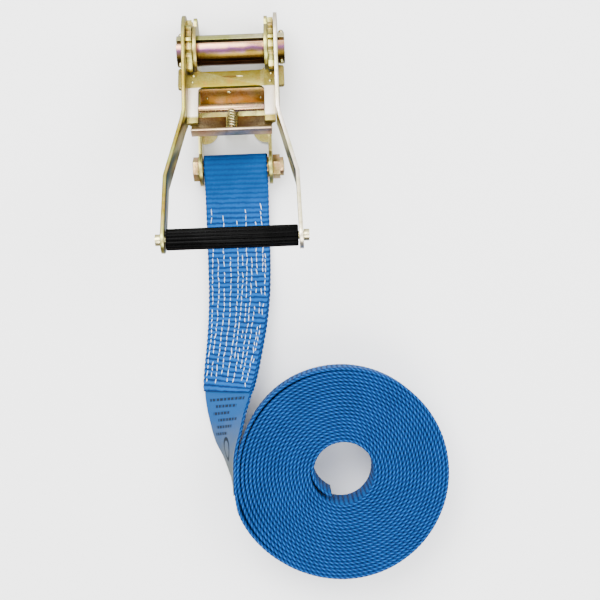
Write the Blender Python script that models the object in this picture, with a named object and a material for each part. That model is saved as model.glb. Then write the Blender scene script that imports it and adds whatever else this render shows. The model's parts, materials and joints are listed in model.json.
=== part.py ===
"""Ratchet tie down: a flared-handle ratchet buckle, its sewn webbing and the coil of webbing.

Sizes are in millimetres and become metres as each mesh is made. The working frame has the
spindle axis over its origin, X along the spindle, -Y towards the webbing and Z up from the
surface that the object lies on. An empty carries it all to the bottom centre of the box.
"""

import math

import bmesh
import bpy
from mathutils import Matrix, Vector

MM = 0.001
GAP = 0.3                       # between faces that touch

# driving dimensions
SPINDLE_R = 12.0
SPINDLE_Z = 28.0                # the round plate ends stand half a millimetre clear of the surface
SPINDLE_HALF_LENGTH = 42.0
SLOT_WIDTH = 3.0
SLOT_TILT = math.radians(26)    # how far the slot leans from upright towards +Y
BOLT_Y = -91.0
BOLT_Z = 13.6
PLATE_END_R = 27.5              # round end of the handle arms, and reach of the frame's lug
RUNNING_R = SPINDLE_R + 0.4

# frame
FRAME_IN = 26.2
FRAME_OUT = 28.9
CAM_R = 19.0
FRAME_TOP_Z = 21.0
BASE_THICK = 2.8

# ratchet wheels
TEETH = 12
CROWN_R = 24.0
ROOT_R = 20.2
WHEEL_IN = 29.4
WHEEL_OUT = 33.5

# handle, with rho the distance from the spindle axis along it
HANDLE_RAISED = math.radians(30)
ARM_X = 35.3                    # middle of the arm's thickness
ARM_THICK = 2.8
ARM_HALF = 9.8
ARM_TAPER_RHO = 72.0
FLARE_START, FLARE_END = 66.0, 125.0
ARM_X_FLARED = 48.4
ARM_X_GRIP = 49.3
GRIP_RHO = 175.0
GRIP_R = 7.8
GRIP_ROD_R = 3.0
RIVET_HEAD_R = 4.2
RIVET_HEAD_END = 55.0

# drive pawl, resting just clear of the teeth
PAWL_THICK = 3.0
PAWL_EDGE_RHO = 22.4
PAWL_TIP_RHO = 24.4
CROSSBAR_END_RHO = 37.6
PAWL_HALF = 33.6
FILLET_R = 3.9                  # where the crossbar's edge turns up beside the webbing
LEG_IN = 25.4
LEG_END_RHO = 72.0
EAR_RHO = (18.5, 38.0)
EAR_OUT = 41.0
DRIVE_IN, DRIVE_OUT = 3.0, 3.0  # travel to the teeth and away from them
PULL_ROD_R = 3.0
PULL_ROD_RHO = 57.8
BRIDGE_RHO = (64.2, 80.6)
BRIDGE_LIP_RHO = 78.2
BRIDGE_Z = (-4.4, -1.9)

# lock pawl, a level plate in the frame
LOCK_Z = 16.0
LOCK_THICK = 3.0
LOCK_TIP_Y = -22.3
LOCK_FRONT_Y = -28.0
LOCK_BACK_Y = -40.0
LOCK_IN, LOCK_OUT = 4.0, 3.0
TAB_Y = (-62.4, -60.0)

# bolt, nut and sleeve
BOLT_R = 5.0
HEX_R = 9.8                     # across the corners, halved
SLEEVE_R = 8.0

# webbing
WEB_HALF = 25.0
WEB_THICK = 2.7
EYE_R = SLEEVE_R + GAP + WEB_THICK
FLAP_END_Y = -269.0
RIBBON_STEP = 3.3
COIL_CENTRE = (75.3, -331.3)
COIL_R, COIL_HOLE_R = 81.0, 22.0
# y, x, twist in degrees and lift off the surface of the layer that runs on to the coil
STRAP_ROUTE = (
    (-112, -0.3, 0, 8.6), (-130, -0.6, 0, 5.6), (-150, -0.8, 0, 2.4), (-168, -0.9, 4, 0.5),
    (-188, -1.2, 12, 0), (-210, -2.9, 19.5, 0), (-231, -5.9, 27, 0), (-254, -10, 33, 0),
    (-267, -12.3, 39, 0), (-276, -13.3, 45.5, 0), (-286, -14.1, 52.5, 0), (-303, -14.2, 64, 0),
    (-318, -13.2, 76, 0), (-334, -11.1, 84, 0), (-347, -9, 88, 0), (-358, -6.6, 90, 0),
)

ZINC = ("yellow_zinc", (0.62, 0.55, 0.27), 0.32, 1.0)
ZINC_PINK = ("yellow_zinc_pink", (0.66, 0.50, 0.42), 0.3, 1.0)
SPRING_STEEL = ("spring_steel", (0.55, 0.50, 0.46), 0.35, 1.0)
BLACK_PLASTIC = ("black_plastic", (0.02, 0.02, 0.02), 0.5, 0.0)
BLUE_WEBBING = ("blue_webbing", (0.035, 0.19, 0.50), 0.8, 0.0)
LABEL_CLOTH = ("label_cloth", (0.25, 0.55, 0.75), 0.7, 0.0)


# ---------- helpers ----------

def clear_scene():
    for obj in list(bpy.data.objects):
        bpy.data.objects.remove(obj)


def material(finish):
    name, colour, roughness, metallic = finish
    found = bpy.data.materials.get(name)
    if found:
        return found
    made = bpy.data.materials.new(name)
    made.use_nodes = True
    shader = made.node_tree.nodes["Principled BSDF"]
    shader.inputs["Base Color"].default_value = (*colour, 1)
    shader.inputs["Roughness"].default_value = roughness
    shader.inputs["Metallic"].default_value = metallic
    return made


def empty(name, location, parent=None, tilt=0.0):
    made = bpy.data.objects.new(name, None)
    bpy.context.collection.objects.link(made)
    made.location = Vector(location) * MM
    made.rotation_euler.x = tilt
    made.parent = parent
    return made


def add_piece(name, bm, finish, parent, smooth=30):
    """An object from a bmesh in millimetres."""
    bmesh.ops.recalc_face_normals(bm, faces=bm.faces)
    bmesh.ops.scale(bm, vec=(MM, MM, MM), verts=bm.verts)
    mesh = bpy.data.meshes.new(name)
    bm.to_mesh(mesh)
    bm.free()
    mesh.shade_smooth()
    mesh.set_sharp_from_angle(angle=math.radians(smooth))
    mesh.materials.append(material(finish))
    made = bpy.data.objects.new(name, mesh)
    bpy.context.collection.objects.link(made)
    made.parent = parent
    return made


def combine(target, other, operation):
    """A Boolean with a hidden helper as its operand."""
    other.hide_render = True
    other.display_type = "WIRE"
    boolean = target.modifiers.new(operation.title(), "BOOLEAN")
    boolean.operation = operation
    boolean.object = other


def arc(centre, radius, start, end, steps):
    """Points on an arc from start to end, in degrees."""
    angles = [math.radians(start + (end - start) * i / steps) for i in range(steps + 1)]
    return [(centre[0] + radius * math.cos(a), centre[1] + radius * math.sin(a)) for a in angles]


def prism(outline, low, high, axis):
    """A closed outline pushed from low to high along X, Y or Z. The outline is in the other two, in order."""
    places = {"X": lambda p, h: (h, *p), "Y": lambda p, h: (p[0], h, p[1]), "Z": lambda p, h: (*p, h)}
    bm = bmesh.new()
    bottom = [bm.verts.new(places[axis](p, low)) for p in outline]
    top = [bm.verts.new(places[axis](p, high)) for p in outline]
    bm.faces.new(bottom)
    bm.faces.new(top)
    for i in range(len(outline)):
        j = (i + 1) % len(outline)
        bm.faces.new((bottom[i], bottom[j], top[j], top[i]))
    return bm


def disc(radius, low, high, axis, centre=(0, 0), steps=32):
    return prism(arc(centre, radius, 0, 360 - 360 / steps, steps - 1), low, high, axis)


def box(x, y, z):
    return prism([(x[0], y[0]), (x[1], y[0]), (x[1], y[1]), (x[0], y[1])], *z, "Z")


def mirrored(outline):
    """The outline of a right half, from its first point to its last, closed with its mirror image."""
    return outline + [(-x, y) for x, y in reversed(outline)]


def tube_along(points, radius, sides):
    """A round wire through points, with flat ends."""
    bm = bmesh.new()
    rings = []
    side = Vector((1, 0, 0))
    for i, point in enumerate(points):
        ahead = points[min(i + 1, len(points) - 1)] - points[max(i - 1, 0)]
        ahead.normalize()
        side = (side - ahead * side.dot(ahead)).normalized()
        up = ahead.cross(side)
        turns = [2 * math.pi * k / sides for k in range(sides)]
        rings.append([
            bm.verts.new(point + radius * (side * math.cos(t) + up * math.sin(t))) for t in turns
        ])
    for first, second in zip(rings, rings[1:]):
        for k in range(sides):
            j = (k + 1) % sides
            bm.faces.new((first[k], first[j], second[j], second[k]))
    bm.faces.new(rings[0])
    bm.faces.new(rings[-1])
    return bm


def coil_spring(low_y, high_y, radius, wire, turns, height):
    """A helix about a line along Y."""
    steps = turns * 14
    points = []
    for i in range(steps + 1):
        turn = 2 * math.pi * turns * i / steps
        y = low_y + wire + (high_y - low_y - 2 * wire) * i / steps
        points.append(Vector((radius * math.cos(turn), y, height + radius * math.sin(turn))))
    return tube_along(points, wire, 6)


# ---------- frame and bolt ----------

def side_plate_outline():
    """(y, z) of the frame's side plate: lug, cam over the spindle, waist and ear round the bolt."""
    lug_side_z, lug_top_z = 15.5, 24.0
    lug_corner = 4.0
    cam_start = math.degrees(math.asin((lug_top_z - SPINDLE_Z) / CAM_R))
    cam_end = 180 - math.degrees(math.asin((FRAME_TOP_Z - SPINDLE_Z) / CAM_R))
    ear_start = math.degrees(math.asin((FRAME_TOP_Z - BOLT_Z) / BOLT_Z))
    outline = arc((PLATE_END_R - lug_side_z, lug_side_z), lug_side_z, -90, 0, 8)
    outline += arc((PLATE_END_R - lug_corner, lug_top_z - lug_corner), lug_corner, 0, 90, 4)
    outline += arc((0, SPINDLE_Z), CAM_R, cam_start, cam_end, 24)
    outline += arc((BOLT_Y, BOLT_Z), BOLT_Z, ear_start, 270, 20)
    return outline


def make_frame(parent):
    outline = side_plate_outline()
    frame = add_piece("base_frame", prism(outline, -FRAME_OUT, -FRAME_IN, "X"), ZINC, parent)
    right = add_piece("frame_right_side", prism(outline, FRAME_IN, FRAME_OUT, "X"), ZINC, parent)
    lobe_r = 10.0
    floor_outline = [(FRAME_IN + 1, -34), (FRAME_IN + 1, -70)]
    floor_outline += arc((14 + lobe_r, -70 + lobe_r), lobe_r, 270, 180, 8)
    floor_outline += [(10, -57)]
    plate = add_piece(
        "frame_floor", prism(mirrored(floor_outline), 0, BASE_THICK, "Z"), ZINC, parent
    )
    tab = add_piece("frame_tab", box((-9, 9), TAB_Y, (BASE_THICK / 2, 20)), ZINC, parent)
    floor_link = add_piece(
        "frame_tab_foot", box((-9, 9), (TAB_Y[0], -56), (0, BASE_THICK)), ZINC, parent
    )
    for shape in (right, plate, floor_link, tab):
        combine(frame, shape, "UNION")
    span = (-FRAME_OUT - 2, FRAME_OUT + 2)
    slot_y = (LOCK_BACK_Y - LOCK_OUT - GAP, LOCK_TIP_Y + LOCK_IN + GAP)
    slot_z = (LOCK_Z - LOCK_THICK / 2 - GAP, LOCK_Z + LOCK_THICK / 2 + GAP)
    cutters = {
        "spindle_holes": disc(RUNNING_R, *span, "X", (0, SPINDLE_Z), 48),
        "bolt_holes": disc(BOLT_R + GAP, *span, "X", (BOLT_Y, BOLT_Z), 24),
        "lock_slots": box(span, slot_y, slot_z),
        "tongue_hole": box((-2.1, 2.1), (TAB_Y[0] - 1, TAB_Y[1] + 1), (LOCK_Z - 2, LOCK_Z + 2)),
    }
    for name, bm in cutters.items():
        combine(frame, add_piece(name, bm, ZINC, parent), "DIFFERENCE")


def make_bolt(parent):
    head = FRAME_OUT + GAP
    centre = (BOLT_Y, BOLT_Z)
    bolt = add_piece("clamp_bolt", disc(BOLT_R, -head - 1, 38.0, "X", centre, 24), ZINC, parent)
    hexagon = prism(arc(centre, HEX_R, 0, 300, 5), -head - 4.9, -head, "X")
    combine(bolt, add_piece("bolt_head", hexagon, ZINC, parent), "UNION")
    nut = add_piece("lock_nut", prism(arc(centre, HEX_R, 15, 315, 5), head, 34.8, "X"), ZINC_PINK, parent)
    combine(nut, add_piece("nut_collar", disc(7.4, 34.0, 37.6, "X", centre, 24), ZINC_PINK, parent), "UNION")
    bore = disc(BOLT_R + GAP, head - 1, 39.0, "X", centre, 24)
    combine(nut, add_piece("nut_bore", bore, ZINC_PINK, parent), "DIFFERENCE")
    end = FRAME_IN - GAP
    sleeve = add_piece("spacer_sleeve", disc(SLEEVE_R, -end, end, "X", centre), ZINC, parent)
    bore = disc(BOLT_R + GAP, -end - 1, end + 1, "X", centre, 24)
    combine(sleeve, add_piece("sleeve_bore", bore, ZINC, parent), "DIFFERENCE")


# ---------- spindle ----------

def half_round(radius, flat, tilt, steps=20):
    """(y, z) of a half-round bar about the origin, flat side at a distance from the axis."""
    start = math.degrees(math.asin(flat / radius))
    points = arc((0, 0), radius, start, 180 - start, steps)
    cos, sin = math.cos(tilt), math.sin(tilt)
    return [(y * cos - z * sin, y * sin + z * cos) for y, z in points]


def wheel_outline():
    """(y, z) of a ratchet wheel with a tooth gap facing -Y: a steep face above each gap, a ramp below."""
    tooth = ((-8.5, CROWN_R), (-7.5, ROOT_R), (0, ROOT_R), (7, ROOT_R), (15, CROWN_R), (18.3, CROWN_R))
    outline = []
    for k in range(TEETH):
        for offset, radius in tooth:
            angle = math.radians(180 + 360 / TEETH * k + offset)
            outline.append((radius * math.cos(angle), radius * math.sin(angle)))
    return outline


def make_spindle(parent):
    """All about the spindle's own axis, which the parent empty stands on."""
    along_slot = math.pi / 2 - SLOT_TILT
    sides = {"upper": along_slot + math.pi, "lower": along_slot}
    pin_direction = Vector((0, math.cos(SLOT_TILT), -math.sin(SLOT_TILT)))
    pin_x = 39.4
    for side, tilt in sides.items():
        outline = half_round(SPINDLE_R, SLOT_WIDTH / 2, tilt)
        bar = prism(outline, -SPINDLE_HALF_LENGTH, SPINDLE_HALF_LENGTH, "X")
        bar = add_piece(f"spindle_{side}_half", bar, ZINC_PINK, parent)
        for sign in (-1, 1):
            reach = [Vector((sign * pin_x, 0, 0)) + d * pin_direction for d in (-20, 20)]
            hole = add_piece(f"{side}_pin_hole", tube_along(reach, 1.5 + GAP, 16), ZINC, parent)
            combine(bar, hole, "DIFFERENCE")
    for sign, side in ((-1, "left"), (1, "right")):
        low, high = sorted((sign * WHEEL_IN, sign * WHEEL_OUT))
        wheel = add_piece(f"ratchet_wheel_{side}", prism(wheel_outline(), low, high, "X"), ZINC, parent)
        for tilt in sides.values():
            window = prism(half_round(SPINDLE_R + GAP, SLOT_WIDTH / 2 - GAP, tilt), low - 1, high + 1, "X")
            combine(wheel, add_piece("wheel_window", window, ZINC, parent), "DIFFERENCE")
        stem = [Vector((sign * pin_x, 0, 0)) + d * pin_direction for d in (-14.6, 15)]
        pin = add_piece(f"split_pin_{side}", tube_along(stem, 1.5, 12), SPRING_STEEL, parent)
        eye = bmesh.new()
        place = Matrix.Translation(stem[1])
        bmesh.ops.create_uvsphere(eye, u_segments=12, v_segments=8, radius=2.3, matrix=place)
        combine(pin, add_piece("pin_eye", eye, SPRING_STEEL, parent), "UNION")


# ---------- handle ----------

def arm_middle(rho):
    """How far the middle of an arm's thickness stands from the centre line."""
    if rho <= FLARE_START:
        return ARM_X
    if rho <= FLARE_END:
        return ARM_X + (ARM_X_FLARED - ARM_X) * (rho - FLARE_START) / (FLARE_END - FLARE_START)
    return ARM_X_FLARED + (ARM_X_GRIP - ARM_X_FLARED) * (rho - FLARE_END) / (GRIP_RHO - FLARE_END)


def arm_outline():
    """(y, z) with y = -rho: the round end, its tangents to the strip and the strip's round end."""
    corner = math.hypot(ARM_TAPER_RHO, ARM_HALF)
    tangent = math.atan2(ARM_HALF, ARM_TAPER_RHO) + math.acos(PLATE_END_R / corner)
    tangent = math.degrees(tangent)
    outline = arc((0, 0), PLATE_END_R, tangent - 180, 180 - tangent, 28)
    outline += [(-ARM_TAPER_RHO, ARM_HALF)]
    outline += arc((-GRIP_RHO, 0), ARM_HALF, 90, 270, 10)
    outline += [(-ARM_TAPER_RHO, -ARM_HALF)]
    return outline


def make_arm(side, sign, parent):
    bm = prism(arm_outline(), -ARM_THICK / 2, ARM_THICK / 2, "X")
    for rho in (FLARE_START, FLARE_END):
        everything = bm.verts[:] + bm.edges[:] + bm.faces[:]
        bmesh.ops.bisect_plane(bm, geom=everything, plane_co=(0, -rho, 0), plane_no=(0, 1, 0))
    for vert in bm.verts:
        vert.co.x += sign * arm_middle(-vert.co.y)
    arm = add_piece(f"handle_arm_{side}", bm, ZINC, parent)
    low, high = sorted((sign * (ARM_X - 4), sign * (ARM_X + 4)))
    grip_low, grip_high = sorted((sign * (ARM_X_GRIP - 6), sign * (ARM_X_GRIP + 6)))
    slot_y = (-EAR_RHO[1] - DRIVE_OUT - GAP, -EAR_RHO[0] + DRIVE_IN + GAP)
    half_slot = PAWL_THICK / 2 + GAP
    cutters = {
        "arm_bearing": disc(RUNNING_R, low, high, "X", steps=48),
        "arm_slot": box((low, high), slot_y, (-half_slot, half_slot)),
        "arm_rod_hole": disc(GRIP_ROD_R + GAP, grip_low, grip_high, "X", (-GRIP_RHO, 0), 20),
    }
    for name, cutter in cutters.items():
        combine(arm, add_piece(name, cutter, ZINC, parent), "DIFFERENCE")


def make_handle(parent):
    for sign, side in ((-1, "left"), (1, "right")):
        make_arm(side, sign, parent)
    tab_rho = BRIDGE_RHO[0] + 5
    outline = [
        (ARM_X - ARM_THICK / 2 - GAP, -BRIDGE_RHO[0]), (ARM_X - ARM_THICK / 2 - GAP, -tab_rho),
        (30.5, -tab_rho - 2), (30.5, -BRIDGE_RHO[1]),
    ]
    bridge = add_piece("handle_bridge", prism(mirrored(outline), *BRIDGE_Z, "Z"), ZINC, parent)
    lip = box((-30.5, 30.5), (-BRIDGE_RHO[1], -BRIDGE_LIP_RHO), (BRIDGE_Z[0], 3.2))
    combine(bridge, add_piece("bridge_lip", lip, ZINC, parent), "UNION")
    bay = box((-4.2, 4.2), (-BRIDGE_LIP_RHO + GAP, -BRIDGE_RHO[0] + 1), (BRIDGE_Z[0] - 1, BRIDGE_Z[1] + 1))
    combine(bridge, add_piece("spring_bay", bay, ZINC, parent), "DIFFERENCE")
    post = disc(1.6, -BRIDGE_LIP_RHO + GAP, -68.0, "Y", steps=16)
    add_piece("spring_post", post, ZINC_PINK, parent)
    rod = disc(GRIP_ROD_R, -RIVET_HEAD_END, RIVET_HEAD_END, "X", (-GRIP_RHO, 0), 20)
    rod = add_piece("grip_rod", rod, SPRING_STEEL, parent)
    head_start = ARM_X_GRIP + ARM_THICK / 2 + GAP
    for sign in (-1, 1):
        low, high = sorted((sign * head_start, sign * RIVET_HEAD_END))
        head = disc(RIVET_HEAD_R, low, high, "X", (-GRIP_RHO, 0), 20)
        combine(rod, add_piece("rivet_head", head, SPRING_STEEL, parent), "UNION")
    end = arm_middle(GRIP_RHO - GRIP_R) - ARM_THICK / 2 - GAP - 0.2
    grip = add_piece(
        "grip_tube", disc(GRIP_R, -end, end, "X", (-GRIP_RHO, 0), 36), BLACK_PLASTIC, parent
    )
    bore = disc(GRIP_ROD_R + GAP, -end - 1, end + 1, "X", (-GRIP_RHO, 0), 20)
    combine(grip, add_piece("grip_bore", bore, BLACK_PLASTIC, parent), "DIFFERENCE")


def make_drive_pawl(parent):
    finger_x = WHEEL_IN - GAP
    corner_r = 4.0
    side_x = FRAME_IN - GAP
    outline = arc((side_x - FILLET_R, -PAWL_EDGE_RHO + FILLET_R), FILLET_R, 270, 345, 5)
    outline += [
        (side_x, outline[-1][1]), (side_x, -PAWL_EDGE_RHO),
        (finger_x, -PAWL_EDGE_RHO), (finger_x, -PAWL_TIP_RHO), (ARM_X - 1, -PAWL_TIP_RHO),
        (ARM_X - 1, -EAR_RHO[0]),
    ]
    outline += arc((EAR_OUT - 2, -EAR_RHO[0] - 2), 2, 90, 0, 4)
    outline += arc((EAR_OUT - 2, -EAR_RHO[1] + 2), 2, 0, -90, 4)
    outline += [(PAWL_HALF, -EAR_RHO[1]), (PAWL_HALF, -LEG_END_RHO), (LEG_IN, -LEG_END_RHO)]
    outline += arc((LEG_IN - corner_r, -CROSSBAR_END_RHO - corner_r), corner_r, 0, 90, 5)
    half = PAWL_THICK / 2
    add_piece("drive_pawl", prism(mirrored(outline), -half, half, "Z"), ZINC, parent)
    end = LEG_IN - GAP
    add_piece(
        "pull_rod", disc(PULL_ROD_R, -end, end, "X", (-PULL_ROD_RHO, 0), 24), ZINC_PINK, parent
    )


def make_drive_spring(parent):
    low = -BRIDGE_LIP_RHO + GAP
    high = -PULL_ROD_RHO - PULL_ROD_R - GAP
    add_piece("drive_spring", coil_spring(low, high, 2.7, 0.6, 6, 0), SPRING_STEEL, parent)


def make_lock_pawl(parent):
    outline = [
        (WEB_HALF + 0.6, LOCK_FRONT_Y), (WEB_HALF + 0.6, LOCK_TIP_Y),
        (WHEEL_OUT, LOCK_TIP_Y), (WHEEL_OUT, LOCK_BACK_Y),
    ]
    low, high = LOCK_Z - LOCK_THICK / 2, LOCK_Z + LOCK_THICK / 2
    plate = add_piece("lock_pawl", prism(mirrored(outline), low, high, "Z"), ZINC_PINK, parent)
    tongue = box((-1.7, 1.7), (TAB_Y[0] - 2, LOCK_BACK_Y + 1), (LOCK_Z - 1.2, LOCK_Z + 1.2))
    combine(plate, add_piece("lock_tongue", tongue, ZINC_PINK, parent), "UNION")
    spring = coil_spring(TAB_Y[1] + GAP, LOCK_BACK_Y - GAP, 3.0, 0.6, 7, LOCK_Z)
    add_piece("lock_spring", spring, SPRING_STEEL, parent)


# ---------- webbing ----------

def rest_height(twist, thickness):
    """Height of the middle of a layer whose lower edge lies on the surface."""
    return GAP + thickness / 2 * math.cos(twist) + WEB_HALF * math.sin(twist)


def smooth_value(rows, y, column):
    """A value on a smooth curve through the route's rows, at a distance y along the strap."""
    i = 1
    while i < len(rows) - 2 and y < rows[i + 1][0]:
        i += 1
    before, first, second, after = (rows[min(max(k, 0), len(rows) - 1)] for k in (i - 1, i, i + 1, i + 2))
    if y > first[0]:
        before, first, second, after = before, before, first, second
    span = second[0] - first[0]
    t = (y - first[0]) / span
    slope_in = (second[column] - before[column]) / ((second[0] - before[0]) or span) * span
    slope_out = (after[column] - first[column]) / ((after[0] - first[0]) or span) * span
    return (
        (2 * t**3 - 3 * t**2 + 1) * first[column] + (t**3 - 2 * t**2 + t) * slope_in
        + (3 * t**2 - 2 * t**3) * second[column] + (t**3 - t**2) * slope_out
    )


def strap_point(y):
    """(place, twist) of the middle of the running layer."""
    x, twist, lift = (smooth_value(STRAP_ROUTE, y, column) for column in (1, 2, 3))
    twist = math.radians(twist)
    return Vector((x, y, rest_height(twist, WEB_THICK) + lift)), twist


def ribbon(start_y, end_y, low, high):
    """A band along the strap's route, from low to high off the middle of its running layer.

    Every band has its sections at the same places and folds each strip of a broad face along the
    same diagonal, so that thin bands one on the other neither cross nor touch."""
    first_step, last_step = (math.floor(y / RIBBON_STEP) for y in (start_y, end_y))
    stations = [start_y]
    stations += [k * RIBBON_STEP for k in range(first_step, last_step, -1) if k * RIBBON_STEP < start_y]
    stations += [end_y]
    columns = 4
    places = [2 * k / columns - 1 for k in range(columns + 1)]
    bm = bmesh.new()
    sections = []
    for y in stations:
        place, twist = strap_point(y)
        ahead = (strap_point(y - 0.5)[0] - strap_point(y + 0.5)[0]).normalized()
        level = Vector((0, 0, 1)).cross(ahead).normalized()
        upward = ahead.cross(level)
        across = level * math.cos(twist) + upward * math.sin(twist)
        outward = upward * math.cos(twist) - level * math.sin(twist)
        sections.append([
            [bm.verts.new(place + across * WEB_HALF * a + outward * off) for a in places]
            for off in (low, high)
        ])
    for first, second in zip(sections, sections[1:]):
        for side in (0, 1):
            for k in range(columns):
                bm.faces.new((first[side][k], first[side][k + 1], second[side][k + 1]))
                bm.faces.new((first[side][k], second[side][k + 1], second[side][k]))
        for k in (0, columns):
            bm.faces.new((first[0][k], first[1][k], second[1][k]))
            bm.faces.new((first[0][k], second[1][k], second[0][k]))
    for section in (sections[0], sections[-1]):
        bm.faces.new(section[0] + section[1][::-1])
    return bm


def make_webbing(parent):
    half = WEB_THICK / 2
    join_y = STRAP_ROUTE[0][0]
    layer_z = strap_point(join_y - 4)[0].z
    eye = [(join_y - 4, layer_z + half + WEB_THICK)]
    eye += [(join_y - 4, layer_z - half)]
    eye += arc((BOLT_Y, BOLT_Z), EYE_R, 246, 450, 22)
    eye += [(BOLT_Y - 5, BOLT_Z + EYE_R - 1.0)]
    loop = add_piece("strap_sewn_loop", prism(eye, -WEB_HALF, WEB_HALF, "X"), BLUE_WEBBING, parent)
    doubled = ribbon(join_y, FLAP_END_Y, -half, half + WEB_THICK)
    combine(loop, add_piece("doubled_layers", doubled, BLUE_WEBBING, parent), "UNION")
    bore = disc(SLEEVE_R + GAP, -WEB_HALF - 1, WEB_HALF + 1, "X", (BOLT_Y, BOLT_Z))
    combine(loop, add_piece("loop_bore", bore, BLUE_WEBBING, parent), "DIFFERENCE")
    end_y = STRAP_ROUTE[-1][0]
    twisted = ribbon(FLAP_END_Y - GAP - 0.5, end_y, -half, half)
    add_piece("strap_twist", twisted, BLUE_WEBBING, parent)
    label = ribbon(FLAP_END_Y - 3, end_y + 12, half + GAP, half + GAP + 0.6)
    add_piece("strap_label", label, LABEL_CLOTH, parent)
    coil = disc(COIL_R, 0, 2 * WEB_HALF, "Z", COIL_CENTRE, 72)
    coil = add_piece("strap_coil", coil, BLUE_WEBBING, parent)
    hole = disc(COIL_HOLE_R, -1, 2 * WEB_HALF + 1, "Z", COIL_CENTRE, 36)
    combine(coil, add_piece("coil_hole", hole, BLUE_WEBBING, parent), "DIFFERENCE")


def main():
    clear_scene()
    across = (COIL_CENTRE[0] + COIL_R - RIVET_HEAD_END) / 2
    along = (PLATE_END_R + COIL_CENTRE[1] - COIL_R) / 2
    origin = empty("bottom_centre", (-across, -along, 0))
    make_frame(origin)
    make_bolt(origin)
    make_lock_pawl(origin)
    make_webbing(origin)
    make_spindle(empty("spindle_axis", (0, 0, SPINDLE_Z), origin))
    handle = empty("handle_axis", (0, 0, SPINDLE_Z), origin, tilt=-HANDLE_RAISED)
    make_handle(handle)
    make_drive_pawl(handle)
    make_drive_spring(handle)


main()
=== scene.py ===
"""Ratchet tie down: the finished look of the buckle, its webbing and its coil.

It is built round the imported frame. Lengths inside the script are in millimetres from the working
origin, which is on the surface straight below the spindle's axis, and become metres as each mesh
is made.
"""

import json
import math
import random

import bmesh
import bpy
import numpy as np
from mathutils import Matrix, Vector


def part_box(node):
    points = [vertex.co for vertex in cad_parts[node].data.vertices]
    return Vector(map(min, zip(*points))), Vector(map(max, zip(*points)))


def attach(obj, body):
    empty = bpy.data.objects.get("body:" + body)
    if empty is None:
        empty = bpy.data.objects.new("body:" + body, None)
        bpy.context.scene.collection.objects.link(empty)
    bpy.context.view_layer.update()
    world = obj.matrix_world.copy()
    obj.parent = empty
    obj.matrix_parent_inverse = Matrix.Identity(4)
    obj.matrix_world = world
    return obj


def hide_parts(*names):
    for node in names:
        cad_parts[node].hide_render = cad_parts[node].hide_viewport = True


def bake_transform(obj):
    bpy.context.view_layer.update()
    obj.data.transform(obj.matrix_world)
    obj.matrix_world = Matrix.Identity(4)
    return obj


bl_info = {
    "name": "Ratchet Tie Down",
    "version": (1, 0, 0),
    "blender": (4, 5, 0),
    "location": "View3D > Sidebar > Tie Down",
    "description": "Finishes a ratchet tie down: metal, grip, sewn webbing, coil and stage",
    "category": "Object",
}

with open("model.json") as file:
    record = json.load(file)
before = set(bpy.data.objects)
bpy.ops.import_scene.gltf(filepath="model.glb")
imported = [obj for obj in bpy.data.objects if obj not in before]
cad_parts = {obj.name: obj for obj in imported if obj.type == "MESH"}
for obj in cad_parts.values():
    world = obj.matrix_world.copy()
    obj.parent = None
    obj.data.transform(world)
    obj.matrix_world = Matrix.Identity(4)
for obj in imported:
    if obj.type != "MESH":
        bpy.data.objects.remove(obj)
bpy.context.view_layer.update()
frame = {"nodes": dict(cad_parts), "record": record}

MM = 0.001


def middle_of(node):
    low, high = (Vector(corner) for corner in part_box(node))
    return (low + high) / 2


SLEEVE = middle_of("spacer_sleeve")
SPINDLE = (middle_of("ratchet_wheel_left") + middle_of("ratchet_wheel_right")) / 2
ORIGIN = Vector((SPINDLE.x, SPINDLE.y, 0.0))
SPINDLE_Z = SPINDLE.z / MM
BOLT = (SLEEVE - ORIGIN) / MM
GRIP = (middle_of("grip_rod") - ORIGIN) / MM
COIL = (middle_of("strap_coil") - ORIGIN) / MM
HANDLE_ANGLE = math.atan2(GRIP.z - SPINDLE_Z, -GRIP.y)
SPINDLE_RADIUS = 12.0

# y, x, twist in degrees and lift off the surface of the layer that runs on to the coil
STRAP_ROUTE = (
    (-112, -0.3, 0, 8.6), (-130, -0.6, 0, 5.6), (-150, -0.8, 0, 2.4), (-168, -0.9, 4, 0.5),
    (-188, -1.2, 12, 0), (-210, -2.9, 19.5, 0), (-231, -5.9, 27, 0), (-254, -10, 33, 0),
    (-267, -12.3, 39, 0), (-276, -13.3, 45.5, 0), (-286, -14.1, 52.5, 0), (-303, -14.2, 64, 0),
    (-318, -13.2, 76, 0), (-334, -11.1, 84, 0), (-347, -9, 88, 0), (-358, -6.6, 90, 0),
)
JOIN_Y = -118.0
FLAP_END_Y = -269.0


# ---------- settings that a user would change ----------

def colour_setting(name, description, default):
    return bpy.props.FloatVectorProperty(
        name=name, description=description, subtype="COLOR", size=3, min=0, max=1, default=default
    )


def length_setting(name, description, default):
    return bpy.props.FloatProperty(
        name=name, description=description, unit="LENGTH", min=0, default=default, precision=5
    )


class WebbingSettings(bpy.types.PropertyGroup):
    """Sizes and colours of the webbing, its stitches and its label."""

    width: length_setting("Width", "Width of the webbing", 0.05)
    thickness: length_setting("Thickness", "Thickness of one layer", 0.0025)
    rib_pitch: length_setting("Rib Pitch", "Distance from one cross rib to the next", 0.004)
    turn_pitch: length_setting("Turn Pitch", "Distance between turns of the coil", 0.00274)
    # Ridge and groove paint light and shade: the groove's dark colour is a painted shade between
    # the ribs.
    ridge: colour_setting("Ridge", "Colour of the raised ribs", (0.0, 0.105, 0.40))
    groove: colour_setting("Groove", "Colour between the ribs", (0.0, 0.004, 0.04))
    thread: colour_setting("Thread", "Colour of the stitching", (0.72, 0.82, 0.92))
    label: colour_setting("Label", "Colour of the label's cloth", (0.002, 0.06, 0.21))
    ink: colour_setting("Label Ink", "Colour of the label's printed marks", (0.004, 0.012, 0.025))
    faded: colour_setting("Label Faded", "Colour of the label's faded end", (0.09, 0.11, 0.115))


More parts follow.
